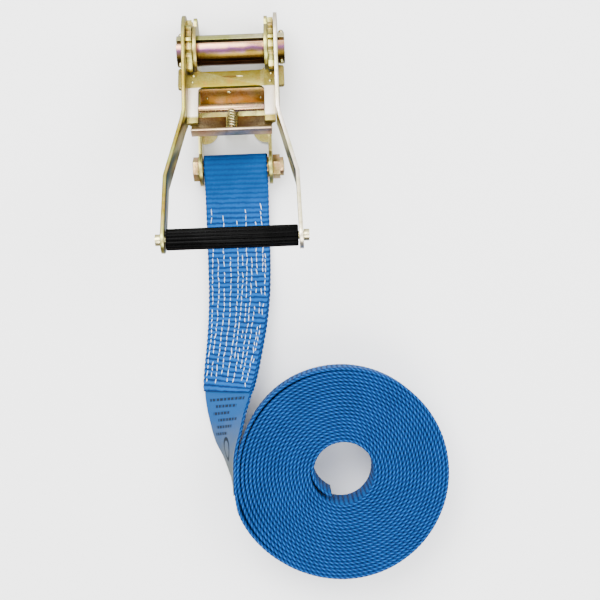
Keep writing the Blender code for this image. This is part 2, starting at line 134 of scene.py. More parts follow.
class MetalSettings(bpy.types.PropertyGroup):
    """Colours of the plating's film and the width of its worn edges."""

    khaki: colour_setting("Khaki", "Main colour of the plated plates", (0.23, 0.17, 0.008))
    green: colour_setting("Green", "Pale green patches", (0.34, 0.36, 0.08))
    rose: colour_setting("Rose", "Pink patches", (0.52, 0.26, 0.13))
    amber: colour_setting("Amber", "Orange patches", (0.40, 0.13, 0.008))
    violet: colour_setting("Violet", "Violet patches", (0.16, 0.06, 0.14))
    blush: colour_setting("Blush", "Colour of the pale pink parts", (0.80, 0.58, 0.42))
    olive: colour_setting("Olive", "Dark olive patches", (0.13, 0.085, 0.012))
    # Brown is only used for painted shade: the bridge's plate, the stamped mark's shadow and the
    # spindle's lower side.
    brown: colour_setting("Brown", "Dark brown patches", (0.05, 0.018, 0.003))
    pearl: colour_setting("Pearl", "Colour of the palest parts", (0.92, 0.80, 0.70))
    steel: colour_setting("Bright Edge", "Colour of worn edges", (0.72, 0.66, 0.38))
    edge: length_setting("Edge Rounding", "Width of the rounded edges of plates", 0.0004)


class GripSettings(bpy.types.PropertyGroup):
    """Shape and colour of the plastic grip."""

    ribs: bpy.props.IntProperty(
        name="Ribs", description="Long ribs round the grip", default=14, min=3
    )
    rib_depth: length_setting("Rib Depth", "Depth of the channels between ribs", 0.0007)
    black: colour_setting("Black", "Colour of the plastic", (0.0006, 0.0006, 0.0006))


class StageSettings(bpy.types.PropertyGroup):
    """Camera, lights and floor."""

    distance: length_setting("Camera Height", "Height of the camera above the surface", 1.0)
    lens: bpy.props.FloatProperty(
        name="Lens", description="Focal length", unit="CAMERA", default=74.4, min=1
    )
    roll: bpy.props.FloatProperty(
        name="Roll", description="Turn of the camera about its view", unit="ROTATION",
        default=math.radians(-2.2),
    )
    floor: colour_setting("Floor", "Colour of the floor", (0.9, 0.9, 0.9))


# ---------- shared helpers ----------

def settings(group):
    return getattr(bpy.context.scene, "tie_down_" + group)


def smooth_step(value, low, high):
    t = min(max((value - low) / (high - low), 0.0), 1.0)
    return t * t * (3 - 2 * t)


def to_row(points):
    """Working millimetres to the frame's metres."""
    return np.asarray(points, float) * MM + np.array(ORIGIN)


def link(name, mesh, material=None):
    made = bpy.data.objects.new(name, mesh)
    bpy.context.collection.objects.link(made)
    if material:
        mesh.materials.append(material)
    return made


def mesh_from(name, points, faces):
    mesh = bpy.data.meshes.new(name)
    mesh.from_pydata([tuple(p) for p in points], [], [tuple(f) for f in faces])
    mesh.update()
    return mesh


def finish_piece(piece, body, slot, *nodes):
    """Says what a piece rides on and which nodes it stands for; the slot, whose finish it has, is
    not used.
    """
    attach(piece, body)
    if nodes:
        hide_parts(*nodes)


def plain_mesh(obj, name, material):
    """Turns an object with modifiers into a plain object of its final mesh."""
    bpy.context.view_layer.update()
    graph = bpy.context.evaluated_depsgraph_get()
    mesh = bpy.data.meshes.new_from_object(obj.evaluated_get(graph), depsgraph=graph)
    mesh.name = name
    old = obj.data
    bpy.data.objects.remove(obj)
    if old.users == 0:
        bpy.data.meshes.remove(old)
    mesh.materials.clear()
    return link(name, mesh, material)


def closed_mesh(name, points, faces):
    """A mesh in the frame's metres from working millimetres, with its faces turned outward."""
    mesh = mesh_from(name, to_row(points), faces)
    bm = bmesh.new()
    bm.from_mesh(mesh)
    bmesh.ops.recalc_face_normals(bm, faces=bm.faces)
    if bm.calc_volume(signed=True) < 0:
        bmesh.ops.reverse_faces(bm, faces=bm.faces)
    bm.to_mesh(mesh)
    bm.free()
    return mesh


def add_values(mesh, name, values):
    """One number for each point, for a material to read."""
    layer = mesh.attributes.new(name, "FLOAT", "POINT")
    layer.data.foreach_set("value", np.asarray(values, np.float32))


def add_uv(mesh, uv):
    """A UV map from one (u, v) for each point."""
    corners = np.empty(len(mesh.loops), np.int32)
    mesh.loops.foreach_get("vertex_index", corners)
    layer = mesh.uv_layers.new(name="UVMap")
    layer.data.foreach_set("uv", np.asarray(uv, np.float32)[corners].reshape(-1))


def body_of_node(node):
    for body, nodes in frame["record"]["behaviour"]["bodies"].items():
        if node in nodes:
            return body
    raise RuntimeError(f"no body holds {node}")


def slot_of_node(node):
    for entry in frame["record"]["subparts"]:
        if entry["node"] == node:
            return entry["material_slot"]
    raise RuntimeError(f"no slot for {node}")


# ---------- shader helpers ----------

FINE_GRAIN = 900.0  # noise scale of the metal's fine scratches
MEAN_RIB_LIGHT = 0.53  # where between groove and ridge the webbing's colour settles with no ribs


class Nodes:
    """A short way to add and join the nodes of one tree."""

    def __init__(self, tree):
        self.tree = tree

    def add(self, kind, inputs=(), **values):
        node = self.tree.nodes.new(kind)
        for key, value in values.items():
            setattr(node, key, value)
        for socket, value in dict(inputs).items():
            self.put(node.inputs[socket], value)
        return node

    def put(self, socket, value):
        if isinstance(value, bpy.types.NodeSocket):
            self.tree.links.new(value, socket)
        elif isinstance(value, bpy.types.Node):
            self.tree.links.new(value.outputs[0], socket)
        elif socket.type == "RGBA" and len(value) == 3:
            socket.default_value = (*value, 1)
        else:
            socket.default_value = value

    def math(self, operation, a, b=0.0, c=0.0, clamp=False):
        return self.add(
            "ShaderNodeMath", {0: a, 1: b, 2: c}, operation=operation, use_clamp=clamp
        ).outputs[0]

    def mix(self, factor, a, b, blend="MIX"):
        node = self.add("ShaderNodeMix", data_type="RGBA", blend_type=blend)
        self.put(node.inputs["Factor"], factor)
        self.put(node.inputs[6], a)
        self.put(node.inputs[7], b)
        return node.outputs[2]

    def ramp(self, factor, *stops):
        """Steps from 0 to 1 or between colours, as (place, colour)."""
        node = self.add("ShaderNodeValToRGB", {0: factor})
        elements = node.color_ramp.elements
        while len(elements) < len(stops):
            elements.new(0.5)
        for element, (place, colour) in zip(elements, stops):
            element.position = place
            element.color = (*(colour if hasattr(colour, "__len__") else [colour] * 3), 1)
        return node.outputs[0]

    def split(self, vector):
        """The X, Y and Z of a vector."""
        return self.add("ShaderNodeSeparateXYZ", {0: vector}).outputs

    def place(self):
        return self.add("ShaderNodeTexCoord").outputs["Object"]

    def attribute(self, name):
        return self.add("ShaderNodeAttribute", attribute_name=name).outputs["Fac"]

    def noise(self, vector, scale, detail=3.0, rough=0.55):
        return self.add(
            "ShaderNodeTexNoise",
            {"Vector": vector, "Scale": scale, "Detail": detail, "Roughness": rough},
        ).outputs["Fac"]


def shader_group(name, inputs, outputs):
    """A new shader node group with its sockets, as (group, nodes, input sockets, output node)."""
    group = bpy.data.node_groups.new(name, "ShaderNodeTree")
    kinds = {"colour": "NodeSocketColor", "value": "NodeSocketFloat", "vector": "NodeSocketVector"}
    for socket, (kind, default) in inputs.items():
        made = group.interface.new_socket(socket, in_out="INPUT", socket_type=kinds[kind])
        made.default_value = (*default, 1) if kind == "colour" else default
    for socket, kind in outputs.items():
        group.interface.new_socket(socket, in_out="OUTPUT", socket_type=kinds[kind])
    nodes = Nodes(group)
    start = nodes.add("NodeGroupInput")
    end = nodes.add("NodeGroupOutput")
    return group, nodes, start.outputs, end


def plated_film_group():
    """Patches of a plating's thin film, with worn edges, fine scratches and a faint relief."""
    metal = settings("metal")
    group, nodes, given, end = shader_group(
        "plated_film",
        {
            "Base": ("colour", metal.khaki), "Second": ("colour", metal.green),
            "Third": ("colour", metal.rose), "Deep": ("colour", metal.amber),
            "Patch Scale": ("value", 45.0), "Seed": ("value", 0.0), "Third Amount": ("value", 0.5),
            "Gloss": ("value", 0.3),
        },
        {"Color": "colour", "Roughness": "value", "Height": "value"},
    )
    offset = nodes.add("ShaderNodeCombineXYZ", {axis: given["Seed"] for axis in range(3)})
    shifted = {0: nodes.place(), 1: offset}
    place = nodes.add("ShaderNodeVectorMath", shifted, operation="ADD").outputs[0]
    broad = nodes.noise(place, given["Patch Scale"], 2.0, 0.5)
    narrow = nodes.noise(place, nodes.math("MULTIPLY", given["Patch Scale"], 3.1), 4.0, 0.6)
    grain = nodes.noise(place, FINE_GRAIN, 3.0, 0.6)
    colour = nodes.mix(nodes.ramp(broad, (0.36, 0), (0.64, 1)), given["Base"], given["Second"])
    third = nodes.ramp(narrow, (0.46, 0), (0.74, 1))
    third = nodes.math("MULTIPLY", third, given["Third Amount"])
    colour = nodes.mix(third, colour, given["Third"])
    deep = nodes.math("MULTIPLY", nodes.ramp(narrow, (0.24, 1), (0.44, 0)), 0.55)
    colour = nodes.mix(deep, colour, given["Deep"])
    rubbed = nodes.ramp(grain, (0.35, 0.35), (0.65, 1))
    worn = nodes.math("MULTIPLY", nodes.attribute("edge"), rubbed)
    colour = nodes.mix(nodes.math("MULTIPLY", worn, 0.6), colour, tuple(metal.steel))
    shade = nodes.ramp(grain, (0.3, 0.86), (0.7, 1.0))
    colour = nodes.mix(1.0, colour, shade, "MULTIPLY")
    spread = nodes.math("MULTIPLY_ADD", grain, 0.14, given["Gloss"])
    nodes.put(end.inputs["Color"], colour)
    nodes.put(end.inputs["Roughness"], nodes.math("SUBTRACT", spread, 0.05))
    nodes.put(end.inputs["Height"], nodes.math("ADD", grain, nodes.math("MULTIPLY", narrow, 0.6)))
    return group


def woven_ribs_group():
    """Cross ribs, yarns and looped edges of narrow webbing, from its UV map and attributes.

    V counts ribs along the webbing and U runs across it. The edge attribute marks the looped
    edges, the pile and shade attribute is how high the loop stands there, with a painted shade
    on the sides of each edge where the turns of the coil meet, and the relief attribute is how
    strong the ribs are. The colour is painted light and shade: rib and yarn crests are lighter
    and the grooves take the dark groove colour as a painted shade."""
    web = settings("webbing")
    group, nodes, given, end = shader_group(
        "woven_ribs",
        {
            "Ridge": ("colour", web.ridge), "Groove": ("colour", web.groove),
            "Yarns": ("value", 46.0), "Contrast": ("value", 1.5),
        },
        {"Color": "colour", "Height": "value"},
    )
    u, v, _ = nodes.split(nodes.add("ShaderNodeUVMap"))
    place = nodes.place()
    wobble = nodes.math("MULTIPLY_ADD", nodes.noise(place, 260.0, 2.0), 0.5, -0.25)
    saw = nodes.math("FRACT", nodes.math("ADD", v, wobble))
    folded = nodes.math("ABSOLUTE", nodes.math("MULTIPLY_ADD", saw, 2.0, -1.0))
    rib = nodes.math("SUBTRACT", 1.0, nodes.math("POWER", folded, 2.0))
    yarn = nodes.math("MULTIPLY", nodes.math("MULTIPLY", u, given["Yarns"]), math.tau)
    yarn = nodes.math("MULTIPLY_ADD", nodes.math("SINE", yarn), 0.5, 0.5)
    pile = nodes.attribute("pile")
    # height lifts the bump and also paints light on rib and yarn crests, with painted shade in the
    # grooves.
    height = nodes.math("ADD", rib, nodes.math("MULTIPLY", yarn, 0.28))
    face = nodes.math("MULTIPLY_ADD", height, 0.7, nodes.math("MULTIPLY", pile, 0.1))
    light = nodes.add("ShaderNodeMix", data_type="FLOAT")
    nodes.put(light.inputs[0], nodes.attribute("edge"))
    nodes.put(light.inputs[2], face)
    nodes.put(light.inputs[3], pile)
    light = nodes.math("POWER", light.outputs[0], given["Contrast"], clamp=True)
    contrast = nodes.math("SUBTRACT", light, MEAN_RIB_LIGHT)
    light = nodes.math("MULTIPLY_ADD", contrast, nodes.attribute("relief"), MEAN_RIB_LIGHT)
    patchy = nodes.ramp(nodes.noise(place, 55.0, 2.0), (0.3, 0.84), (0.7, 1.0))
    fibre = nodes.ramp(nodes.noise(place, 2600.0, 2.0), (0.3, 0.8), (0.7, 1.0))
    # Where light is low the groove colour is a painted shade.
    colour = nodes.mix(light, given["Groove"], given["Ridge"])
    colour = nodes.mix(1.0, nodes.mix(1.0, colour, patchy, "MULTIPLY"), fibre, "MULTIPLY")
    nodes.put(end.inputs["Color"], colour)
    nodes.put(end.inputs["Height"], nodes.math("ADD", height, nodes.math("MULTIPLY", fibre, 0.5)))
    return group


def new_material(name, roughness=0.5, metallic=0.0):
    material = bpy.data.materials.new(name)
    material.use_nodes = True
    shader = material.node_tree.nodes["Principled BSDF"]
    shader.inputs["Roughness"].default_value = roughness
    shader.inputs["Metallic"].default_value = metallic
    return material, Nodes(material.node_tree), shader


def add_bump(nodes, shader, height, strength, distance):
    bump = nodes.add(
        "ShaderNodeBump", {"Height": height, "Strength": strength, "Distance": distance}
    )
    nodes.put(shader.inputs["Normal"], bump.outputs["Normal"])


def once(name, build):
    """A material or node group by name, built the first time that it is asked for."""
    return bpy.data.materials.get(name) or bpy.data.node_groups.get(name) or build()


def reach_mask(inner, outer):
    """A mask that is 1 between two distances out from the spindle's axis along the handle."""
    def mask(nodes):
        _, y, z = nodes.split(nodes.place())
        back = nodes.math("SUBTRACT", ORIGIN.y, y)
        up = nodes.math("SUBTRACT", z, SPINDLE.z)
        out = nodes.math("MULTIPLY", up, math.sin(HANDLE_ANGLE))
        out = nodes.math("MULTIPLY_ADD", back, math.cos(HANDLE_ANGLE), out)
        past = nodes.math("SUBTRACT", out, inner * MM)
        past = nodes.math("MULTIPLY", past, 1 / MM, clamp=True)
        short = nodes.math("SUBTRACT", outer * MM, out)
        short = nodes.math("MULTIPLY", short, 0.5 / MM, clamp=True)
        return nodes.math("MULTIPLY", past, short)
    return mask


def rim_mask(nodes):
    """A mask that is 1 on a plate's cut edges, from its UV map."""
    return nodes.split(nodes.add("ShaderNodeUVMap"))[0]


def add_film(nodes, colours, patch, seed, third_amount, gloss):
    film = nodes.add("ShaderNodeGroup", node_tree=once("plated_film", plated_film_group))
    values = dict(zip(("Base", "Second", "Third", "Deep"), map(metal_colour, colours)))
    values |= {
        "Patch Scale": patch, "Seed": seed, "Third Amount": third_amount, "Gloss": gloss,
    }
    for socket, value in values.items():
        nodes.put(film.inputs[socket], value)
    return film


def metal_colour(name):
    return tuple(getattr(settings("metal"), name))


def finish_metal(nodes, shader, film, colour):
    nodes.put(shader.inputs["Base Color"], colour)
    nodes.put(shader.inputs["Roughness"], film.outputs["Roughness"])
    add_bump(nodes, shader, film.outputs["Height"], 0.12, 0.0002)


# base, second, third and deep colours, then patch scale, seed, amount of the third and gloss
FILMS = {
    "plated_plate": (("khaki", "green", "rose", "amber"), 45.0, 0.3, 0.5, 0.3),
    "plated_lock": (("amber", "khaki", "rose", "amber"), 40.0, 2.9, 0.7, 0.3),
    "plated_spindle": (("rose", "violet", "green", "amber"), 22.0, 4.1, 0.5, 0.24),
    # plated_pale is the spindle's upper half, pale as a painted reflection.
    "plated_pale": (("steel", "green", "green", "khaki"), 26.0, 8.2, 0.4, 0.22),
    "plated_fastener": (("rose", "khaki", "green", "amber"), 90.0, 5.3, 0.6, 0.28),
    "plated_bright": (("steel", "green", "rose", "khaki"), 60.0, 6.7, 0.5, 0.25),
}


def plated(name):
    """The metal of one row of FILMS."""
    def build():
        material, nodes, shader = new_material(name, metallic=1.0)
        film = add_film(nodes, *FILMS[name])
        finish_metal(nodes, shader, film, film.outputs["Color"])
        return material
    return once(name, build)


def two_films(name, first, second, mask, seed, gloss):
    """A metal with the first film's colours where the mask is 0 and the second's where it is 1."""
    def build():
        material, nodes, shader = new_material(name, metallic=1.0)
        films = [add_film(nodes, colours, 42.0, seed, 0.45, gloss) for colours in (first, second)]
        colour = nodes.mix(mask(nodes), films[0].outputs["Color"], films[1].outputs["Color"])
        finish_metal(nodes, shader, films[0], colour)
        return material
    return once(name, build)


def pawl_metal():
    """Khaki on the crossbar and pearl on the legs, as far as their ends."""
    return two_films(
        "plated_pawl", ("khaki", "khaki", "green", "amber"), ("pearl", "pearl", "pearl", "blush"),
        reach_mask(37.9, 67.0), 1.7, 0.34,
    )


def bridge_metal_with_painted_shade():
    """Brown on the bridge's plate, a painted shade, and pink on its lip."""
    return two_films(
        "plated_bridge", ("brown", "brown", "olive", "brown"), ("blush", "rose", "green", "olive"),
        reach_mask(78.9, 200.0), 3.6, 0.3,
    )


def arm_metal():
    """Khaki on the broad sides and pearl on the cut edges."""
    return two_films(
        "plated_arm", ("khaki", "green", "rose", "amber"), ("pearl", "steel", "green", "khaki"),
        rim_mask, 7.4, 0.3,
    )


def spindle_painted_light_metal():
    """The spindle's lower half, in painted reflection and shade: rose, then violet, then brown,
    towards the webbing.
    """
    def build():
        material, nodes, shader = new_material("plated_rolled", metallic=1.0)
        place = nodes.place()
        past = nodes.math("SUBTRACT", ORIGIN.y, nodes.split(place)[1])
        past = nodes.math("MULTIPLY", past, 1 / (SPINDLE_RADIUS * MM))
        streak = nodes.math("MULTIPLY_ADD", nodes.noise(place, 70.0, 3.0), 0.7, -0.35)
        past = nodes.math("MULTIPLY_ADD", nodes.math("ADD", past, streak), 0.5, 0.5)
        # Pale blush and rose are a painted reflection on the upper side; violet, olive and brown
        # are a painted shade towards the webbing.
        colours = zip((0.2, 0.42, 0.56, 0.7, 0.9), ("blush", "rose", "violet", "olive", "brown"))
        colour = nodes.ramp(past, *((stop, metal_colour(name)) for stop, name in colours))
        grain = nodes.noise(place, FINE_GRAIN, 3.0)
        shade = nodes.ramp(grain, (0.3, 0.85), (0.7, 1.0))
        nodes.put(shader.inputs["Base Color"], nodes.mix(1.0, colour, shade, "MULTIPLY"))
        nodes.put(shader.inputs["Roughness"], nodes.math("MULTIPLY_ADD", grain, 0.14, 0.16))
        return material
    return once("plated_rolled", build)


def stamped_shadow():
    """A painted shadow: the dark colour down inside a stamped mark."""
    def build():
        material, nodes, shader = new_material("stamped_shadow", roughness=0.8)
        shader.inputs["Specular IOR Level"].default_value = 0.05
        grain = nodes.noise(nodes.place(), 800.0)
        painted_shadow_colour = nodes.mix(grain, metal_colour("brown"), metal_colour("olive"))
        nodes.put(shader.inputs["Base Color"], painted_shadow_colour)
        return material
    return once("stamped_shadow", build)


def webbing_cloth():
    def build():
        material, nodes, shader = new_material("webbing_cloth", roughness=0.8)
        shader.inputs["Specular IOR Level"].default_value = 0.12
        weave = nodes.add("ShaderNodeGroup", node_tree=once("woven_ribs", woven_ribs_group))
        nodes.put(shader.inputs["Base Color"], weave.outputs["Color"])
        add_bump(nodes, shader, weave.outputs["Height"], 0.6, 0.0004)
        return material
    return once("webbing_cloth", build)


def thread_yarn():
    def build():
        material, nodes, shader = new_material("thread_yarn", roughness=0.6)
        twist = nodes.noise(nodes.place(), 1800.0, 2.0)
        thread = settings("webbing").thread
        dull = tuple(0.62 * c for c in thread)
        nodes.put(shader.inputs["Base Color"], nodes.mix(twist, dull, tuple(thread)))
        shader.inputs["Sheen Weight"].default_value = 0.2
        add_bump(nodes, shader, twist, 0.4, 0.0001)
        return material
    return once("thread_yarn", build)


# where the printed rows start and end down the label, and where the ring's middle is
ROWS_START, ROWS_END = 0.13, 0.5
RING_U, RING_V = 0.5, 0.61


def printed_marks_group():
    """A mask of rows of short bars and one ring, from UV: plain marks that say nothing."""
    group, nodes, given, end = shader_group(
        "printed_marks", {"Rows": ("value", 6.0), "Aspect": ("value", 1.5)}, {"Mask": "value"}
    )
    u, v, _ = nodes.split(nodes.add("ShaderNodeUVMap"))

    def within(value, low, high, soft=0.01):
        rise = nodes.math("MULTIPLY", nodes.math("SUBTRACT", value, low), 1 / soft, clamp=True)
        fall = nodes.math("MULTIPLY", nodes.math("SUBTRACT", high, value), 1 / soft, clamp=True)
        return nodes.math("MULTIPLY", rise, fall)

    def varied(step, spread, start):
        """A number that differs from row to row."""
        share = nodes.math("FRACT", nodes.math("MULTIPLY", number, step))
        return nodes.math("MULTIPLY_ADD", share, spread, start)

    def wave(rate, shift):
        """A wave across the label that moves along from row to row."""
        shifted = nodes.math("MULTIPLY", number, shift)
        return nodes.math("SINE", nodes.math("MULTIPLY_ADD", u, rate, shifted))

    per_row = nodes.math("DIVIDE", given["Rows"], ROWS_END - ROWS_START)
    row = nodes.math("MULTIPLY", nodes.math("SUBTRACT", v, ROWS_START), per_row)
    number = nodes.math("FLOOR", row)
    line = within(nodes.math("FRACT", row), 0.2, 0.72, 0.1)
    span = within(u, varied(0.618, 0.2, 0.1), varied(0.381, -0.4, 0.92))
    gaps = nodes.math("MULTIPLY", wave(187.0, 5.1), 0.8)
    gaps = nodes.math("ADD", nodes.math("ADD", wave(71.0, 2.3), gaps), 0.85)
    gaps = nodes.math("MULTIPLY", gaps, 2.5, clamp=True)
    bars = nodes.math("MULTIPLY", nodes.math("MULTIPLY", line, span), gaps)
    bars = nodes.math("MULTIPLY", bars, within(v, ROWS_START, ROWS_END))
    du = nodes.math("SUBTRACT", u, RING_U)
    dv = nodes.math("MULTIPLY", nodes.math("SUBTRACT", v, RING_V), given["Aspect"])
    squares = nodes.math("MULTIPLY_ADD", du, du, nodes.math("MULTIPLY", dv, dv))
    ring = within(nodes.math("SQRT", squares), 0.11, 0.17)
    nodes.put(end.inputs["Mask"], nodes.math("MAXIMUM", bars, ring))
    return group


def printed_label():
    def build():
        web = settings("webbing")
        material, nodes, shader = new_material("printed_label", roughness=0.7)
        shader.inputs["Specular IOR Level"].default_value = 0.2
        u, v, _ = nodes.split(nodes.add("ShaderNodeUVMap"))
        cloud = nodes.math("MULTIPLY", nodes.noise(nodes.place(), 60.0, 2.0), 0.3)
        faded = nodes.ramp(nodes.math("ADD", v, cloud), (0.5, 0), (0.9, 1))
        colour = nodes.mix(faded, tuple(web.label), tuple(web.faded))
        marks = nodes.add("ShaderNodeGroup", node_tree=once("printed_marks", printed_marks_group))
        colour = nodes.mix(marks.outputs["Mask"], colour, tuple(web.ink))
        weft = nodes.math("SINE", nodes.math("MULTIPLY", v, 520.0))
        warp = nodes.math("SINE", nodes.math("MULTIPLY", u, 330.0))
        weave = nodes.math("MULTIPLY_ADD", nodes.math("MULTIPLY", weft, warp), 0.5, 0.5)
        fine = nodes.ramp(weave, (0.0, 0.85), (1.0, 1.0))
        nodes.put(shader.inputs["Base Color"], nodes.mix(1.0, colour, fine, "MULTIPLY"))
        add_bump(nodes, shader, weave, 0.25, 0.0001)
        return material
    return once("printed_label", build)


def grip_plastic():
    def build():
        black = settings("grip").black
        material, nodes, shader = new_material("grip_plastic", roughness=0.4)
        shader.inputs["Specular IOR Level"].default_value = 0.03
        place = nodes.place()
        grain = nodes.noise(place, 700.0, 3.0)
        dust = nodes.ramp(nodes.noise(place, 60.0, 4.0), (0.45, 0), (0.8, 1))
        grey = tuple(3.2 * c for c in black)
        nodes.put(shader.inputs["Base Color"], nodes.mix(dust, tuple(black), grey))
        nodes.put(shader.inputs["Roughness"], nodes.math("MULTIPLY_ADD", grain, 0.2, 0.16))
        add_bump(nodes, shader, grain, 0.25, 0.0002)
        return material
    return once("grip_plastic", build)


# ---------- the strap's route ----------

WEB_CLEARANCE = 0.3


def cubic(t, start, start_slope, end, end_slope):
    """A place on the smooth curve between two ends with the given slopes, at t from 0 to 1."""
    return (
        (2 * t**3 - 3 * t**2 + 1) * start + (t**3 - 2 * t**2 + t) * start_slope
        + (3 * t**2 - 2 * t**3) * end + (t**3 - t**2) * end_slope
    )


def smooth_value(y, column):
    """A value on a smooth curve through the route's rows, at a distance y along the strap."""
    rows = STRAP_ROUTE
    last = len(rows) - 1
    i = 0
    while i < last - 1 and y < rows[i + 1][0]:
        i += 1
    before, first, second, after = (rows[min(max(k, 0), last)] for k in (i - 1, i, i + 1, i + 2))
    span = second[0] - first[0]
    t = (y - first[0]) / span
    slope_in = (second[column] - before[column]) / ((second[0] - before[0]) or span) * span
    slope_out = (after[column] - first[column]) / ((after[0] - first[0]) or span) * span
    return cubic(t, first[column], slope_in, second[column], slope_out)


def strap_place(y):
    """(place, across, outward) of the middle of the running layer, as Vectors."""
    web = settings("webbing")
    half_width = web.width / MM / 2
    half_thick = web.thickness / MM / 2

    def point(at):
        x, twist, lift = (smooth_value(at, column) for column in (1, 2, 3))
        turn = math.radians(twist)
        height = WEB_CLEARANCE + half_thick * math.cos(turn) + half_width * math.sin(turn)
        return Vector((x, at, height + lift)), turn

    place, turn = point(y)
    ahead = (point(y - 0.5)[0] - point(y + 0.5)[0]).normalized()
    level = Vector((0, 0, 1)).cross(ahead).normalized()
    upward = ahead.cross(level)
    across = level * math.cos(turn) + upward * math.sin(turn)
    outward = upward * math.cos(turn) - level * math.sin(turn)
    return place, across, outward


def curve_between(start, start_slope, end, end_slope, steps):
    """Points on the smooth curve from start to end, after the start."""
    shares = [(i + 1) / steps for i in range(steps)]
    return [cubic(t, start, start_slope, end, end_slope) for t in shares]


class Spiral:
    """The wound coil, seen from above, anticlockwise from where the strap comes in."""

    start = math.radians(198)
    end = math.radians(240) + 21 * math.tau
    centre = Vector((COIL.x - 0.7, COIL.y, 0))
    first_radius = 81.2

    def __init__(self, pitch):
        self.pitch = pitch
        rng = random.Random(5)
        self.waves = [
            (rng.uniform(0.11, 0.9), rng.uniform(0, math.tau), rng.uniform(0.1, 0.22))
            for _ in range(7)
        ]

    def radius(self, angle):
        """Radius of the middle of the webbing, with a slack first turn and a loose inner end."""
        turned = angle - self.start
        radius = self.first_radius - self.pitch * turned / math.tau
        radius += 4.3 * math.exp(-(turned / math.radians(34)) ** 2)
        radius += 1.15 * math.exp(-((angle - math.radians(492)) / math.radians(34)) ** 2)
        inside = max(turned / math.tau - 1, 0)
        from_strap = math.remainder(angle - math.radians(200), math.tau)
        bulge = 2.7 * math.exp(-(from_strap / math.radians(40)) ** 2) * math.exp(-inside / 4)
        radius += bulge * smooth_step(turned, math.radians(200), math.radians(300))
        radius += 0.12 * math.sin(2 * angle + 0.5) + 0.1 * math.sin(3 * angle)
        return radius - 3.2 * smooth_step(angle, self.end - math.radians(75), self.end)

    def height(self, angle, half_width):
        wander = sum(size * math.sin(rate * angle + phase) for rate, phase, size in self.waves)
        return WEB_CLEARANCE + half_width + max(wander, -0.1) * smooth_step(angle, 3.6, 9)

    def point(self, angle, half_width):
        radius = self.radius(angle)
        return Vector((
            self.centre.x + radius * math.cos(angle), self.centre.y + radius * math.sin(angle),
            self.height(angle, half_width),
        ))


class Band:
    """The middle line of a stretch of webbing, with the direction across it at each point."""

    def __init__(self):
        self.points = []
        self.across = []

    def add(self, point, across):
        self.points.append(point)
        self.across.append(across)

    def sampled(self, spacing):
        """Evenly spaced (places, across, outward, distance), by the distance along the line."""
        points = np.array([tuple(p) for p in self.points])
        across = np.array([tuple(a) for a in self.across])
        steps = np.linalg.norm(np.diff(points, axis=0), axis=1)
        keep = np.concatenate([[True], steps > 1e-6])
        points, across = points[keep], across[keep]
        distance = np.concatenate([[0], np.cumsum(np.linalg.norm(np.diff(points, axis=0), axis=1))])
        count = int(round(distance[-1] / spacing)) + 1
        even = np.linspace(0, distance[-1], count)
        place = np.stack([np.interp(even, distance, points[:, k]) for k in range(3)], axis=1)
        across = np.stack([np.interp(even, distance, across[:, k]) for k in range(3)], axis=1)
        ahead = np.gradient(place, axis=0)
        ahead /= np.linalg.norm(ahead, axis=1)[:, None]
        across -= ahead * (across * ahead).sum(axis=1)[:, None]
        across /= np.linalg.norm(across, axis=1)[:, None]
        return place, across, np.cross(across, ahead), even


EDGE_DEGREES = (55, 25, 0, -25, -55)  # the points round each looped edge
LOOP_LEAN = 0.9
EDGE_RELIEF, FACE_RELIEF, LOOP_REACH = 0.16, 0.2, 0.75  # in millimetres


def band_section(columns, half_width, half_thick):
    """One cross-section as (across, outward, edge): outer face, edge, inner face, other edge."""
    edge = half_thick * 0.9
    inner = half_width - edge
    curve = [(edge * math.cos(a), half_thick * math.sin(a)) for a in np.radians(EDGE_DEGREES)]
    rows = [(x, half_thick, 0.0) for x in np.linspace(-inner, inner, columns)]
    rows += [(inner + out, up, 1.0) for out, up in curve]
    rows += [(x, -half_thick, 0.0) for x in np.linspace(inner, -inner, columns)]
    rows += [(-inner - out, up, 1.0) for out, up in reversed(curve)]
    return np.array(rows)


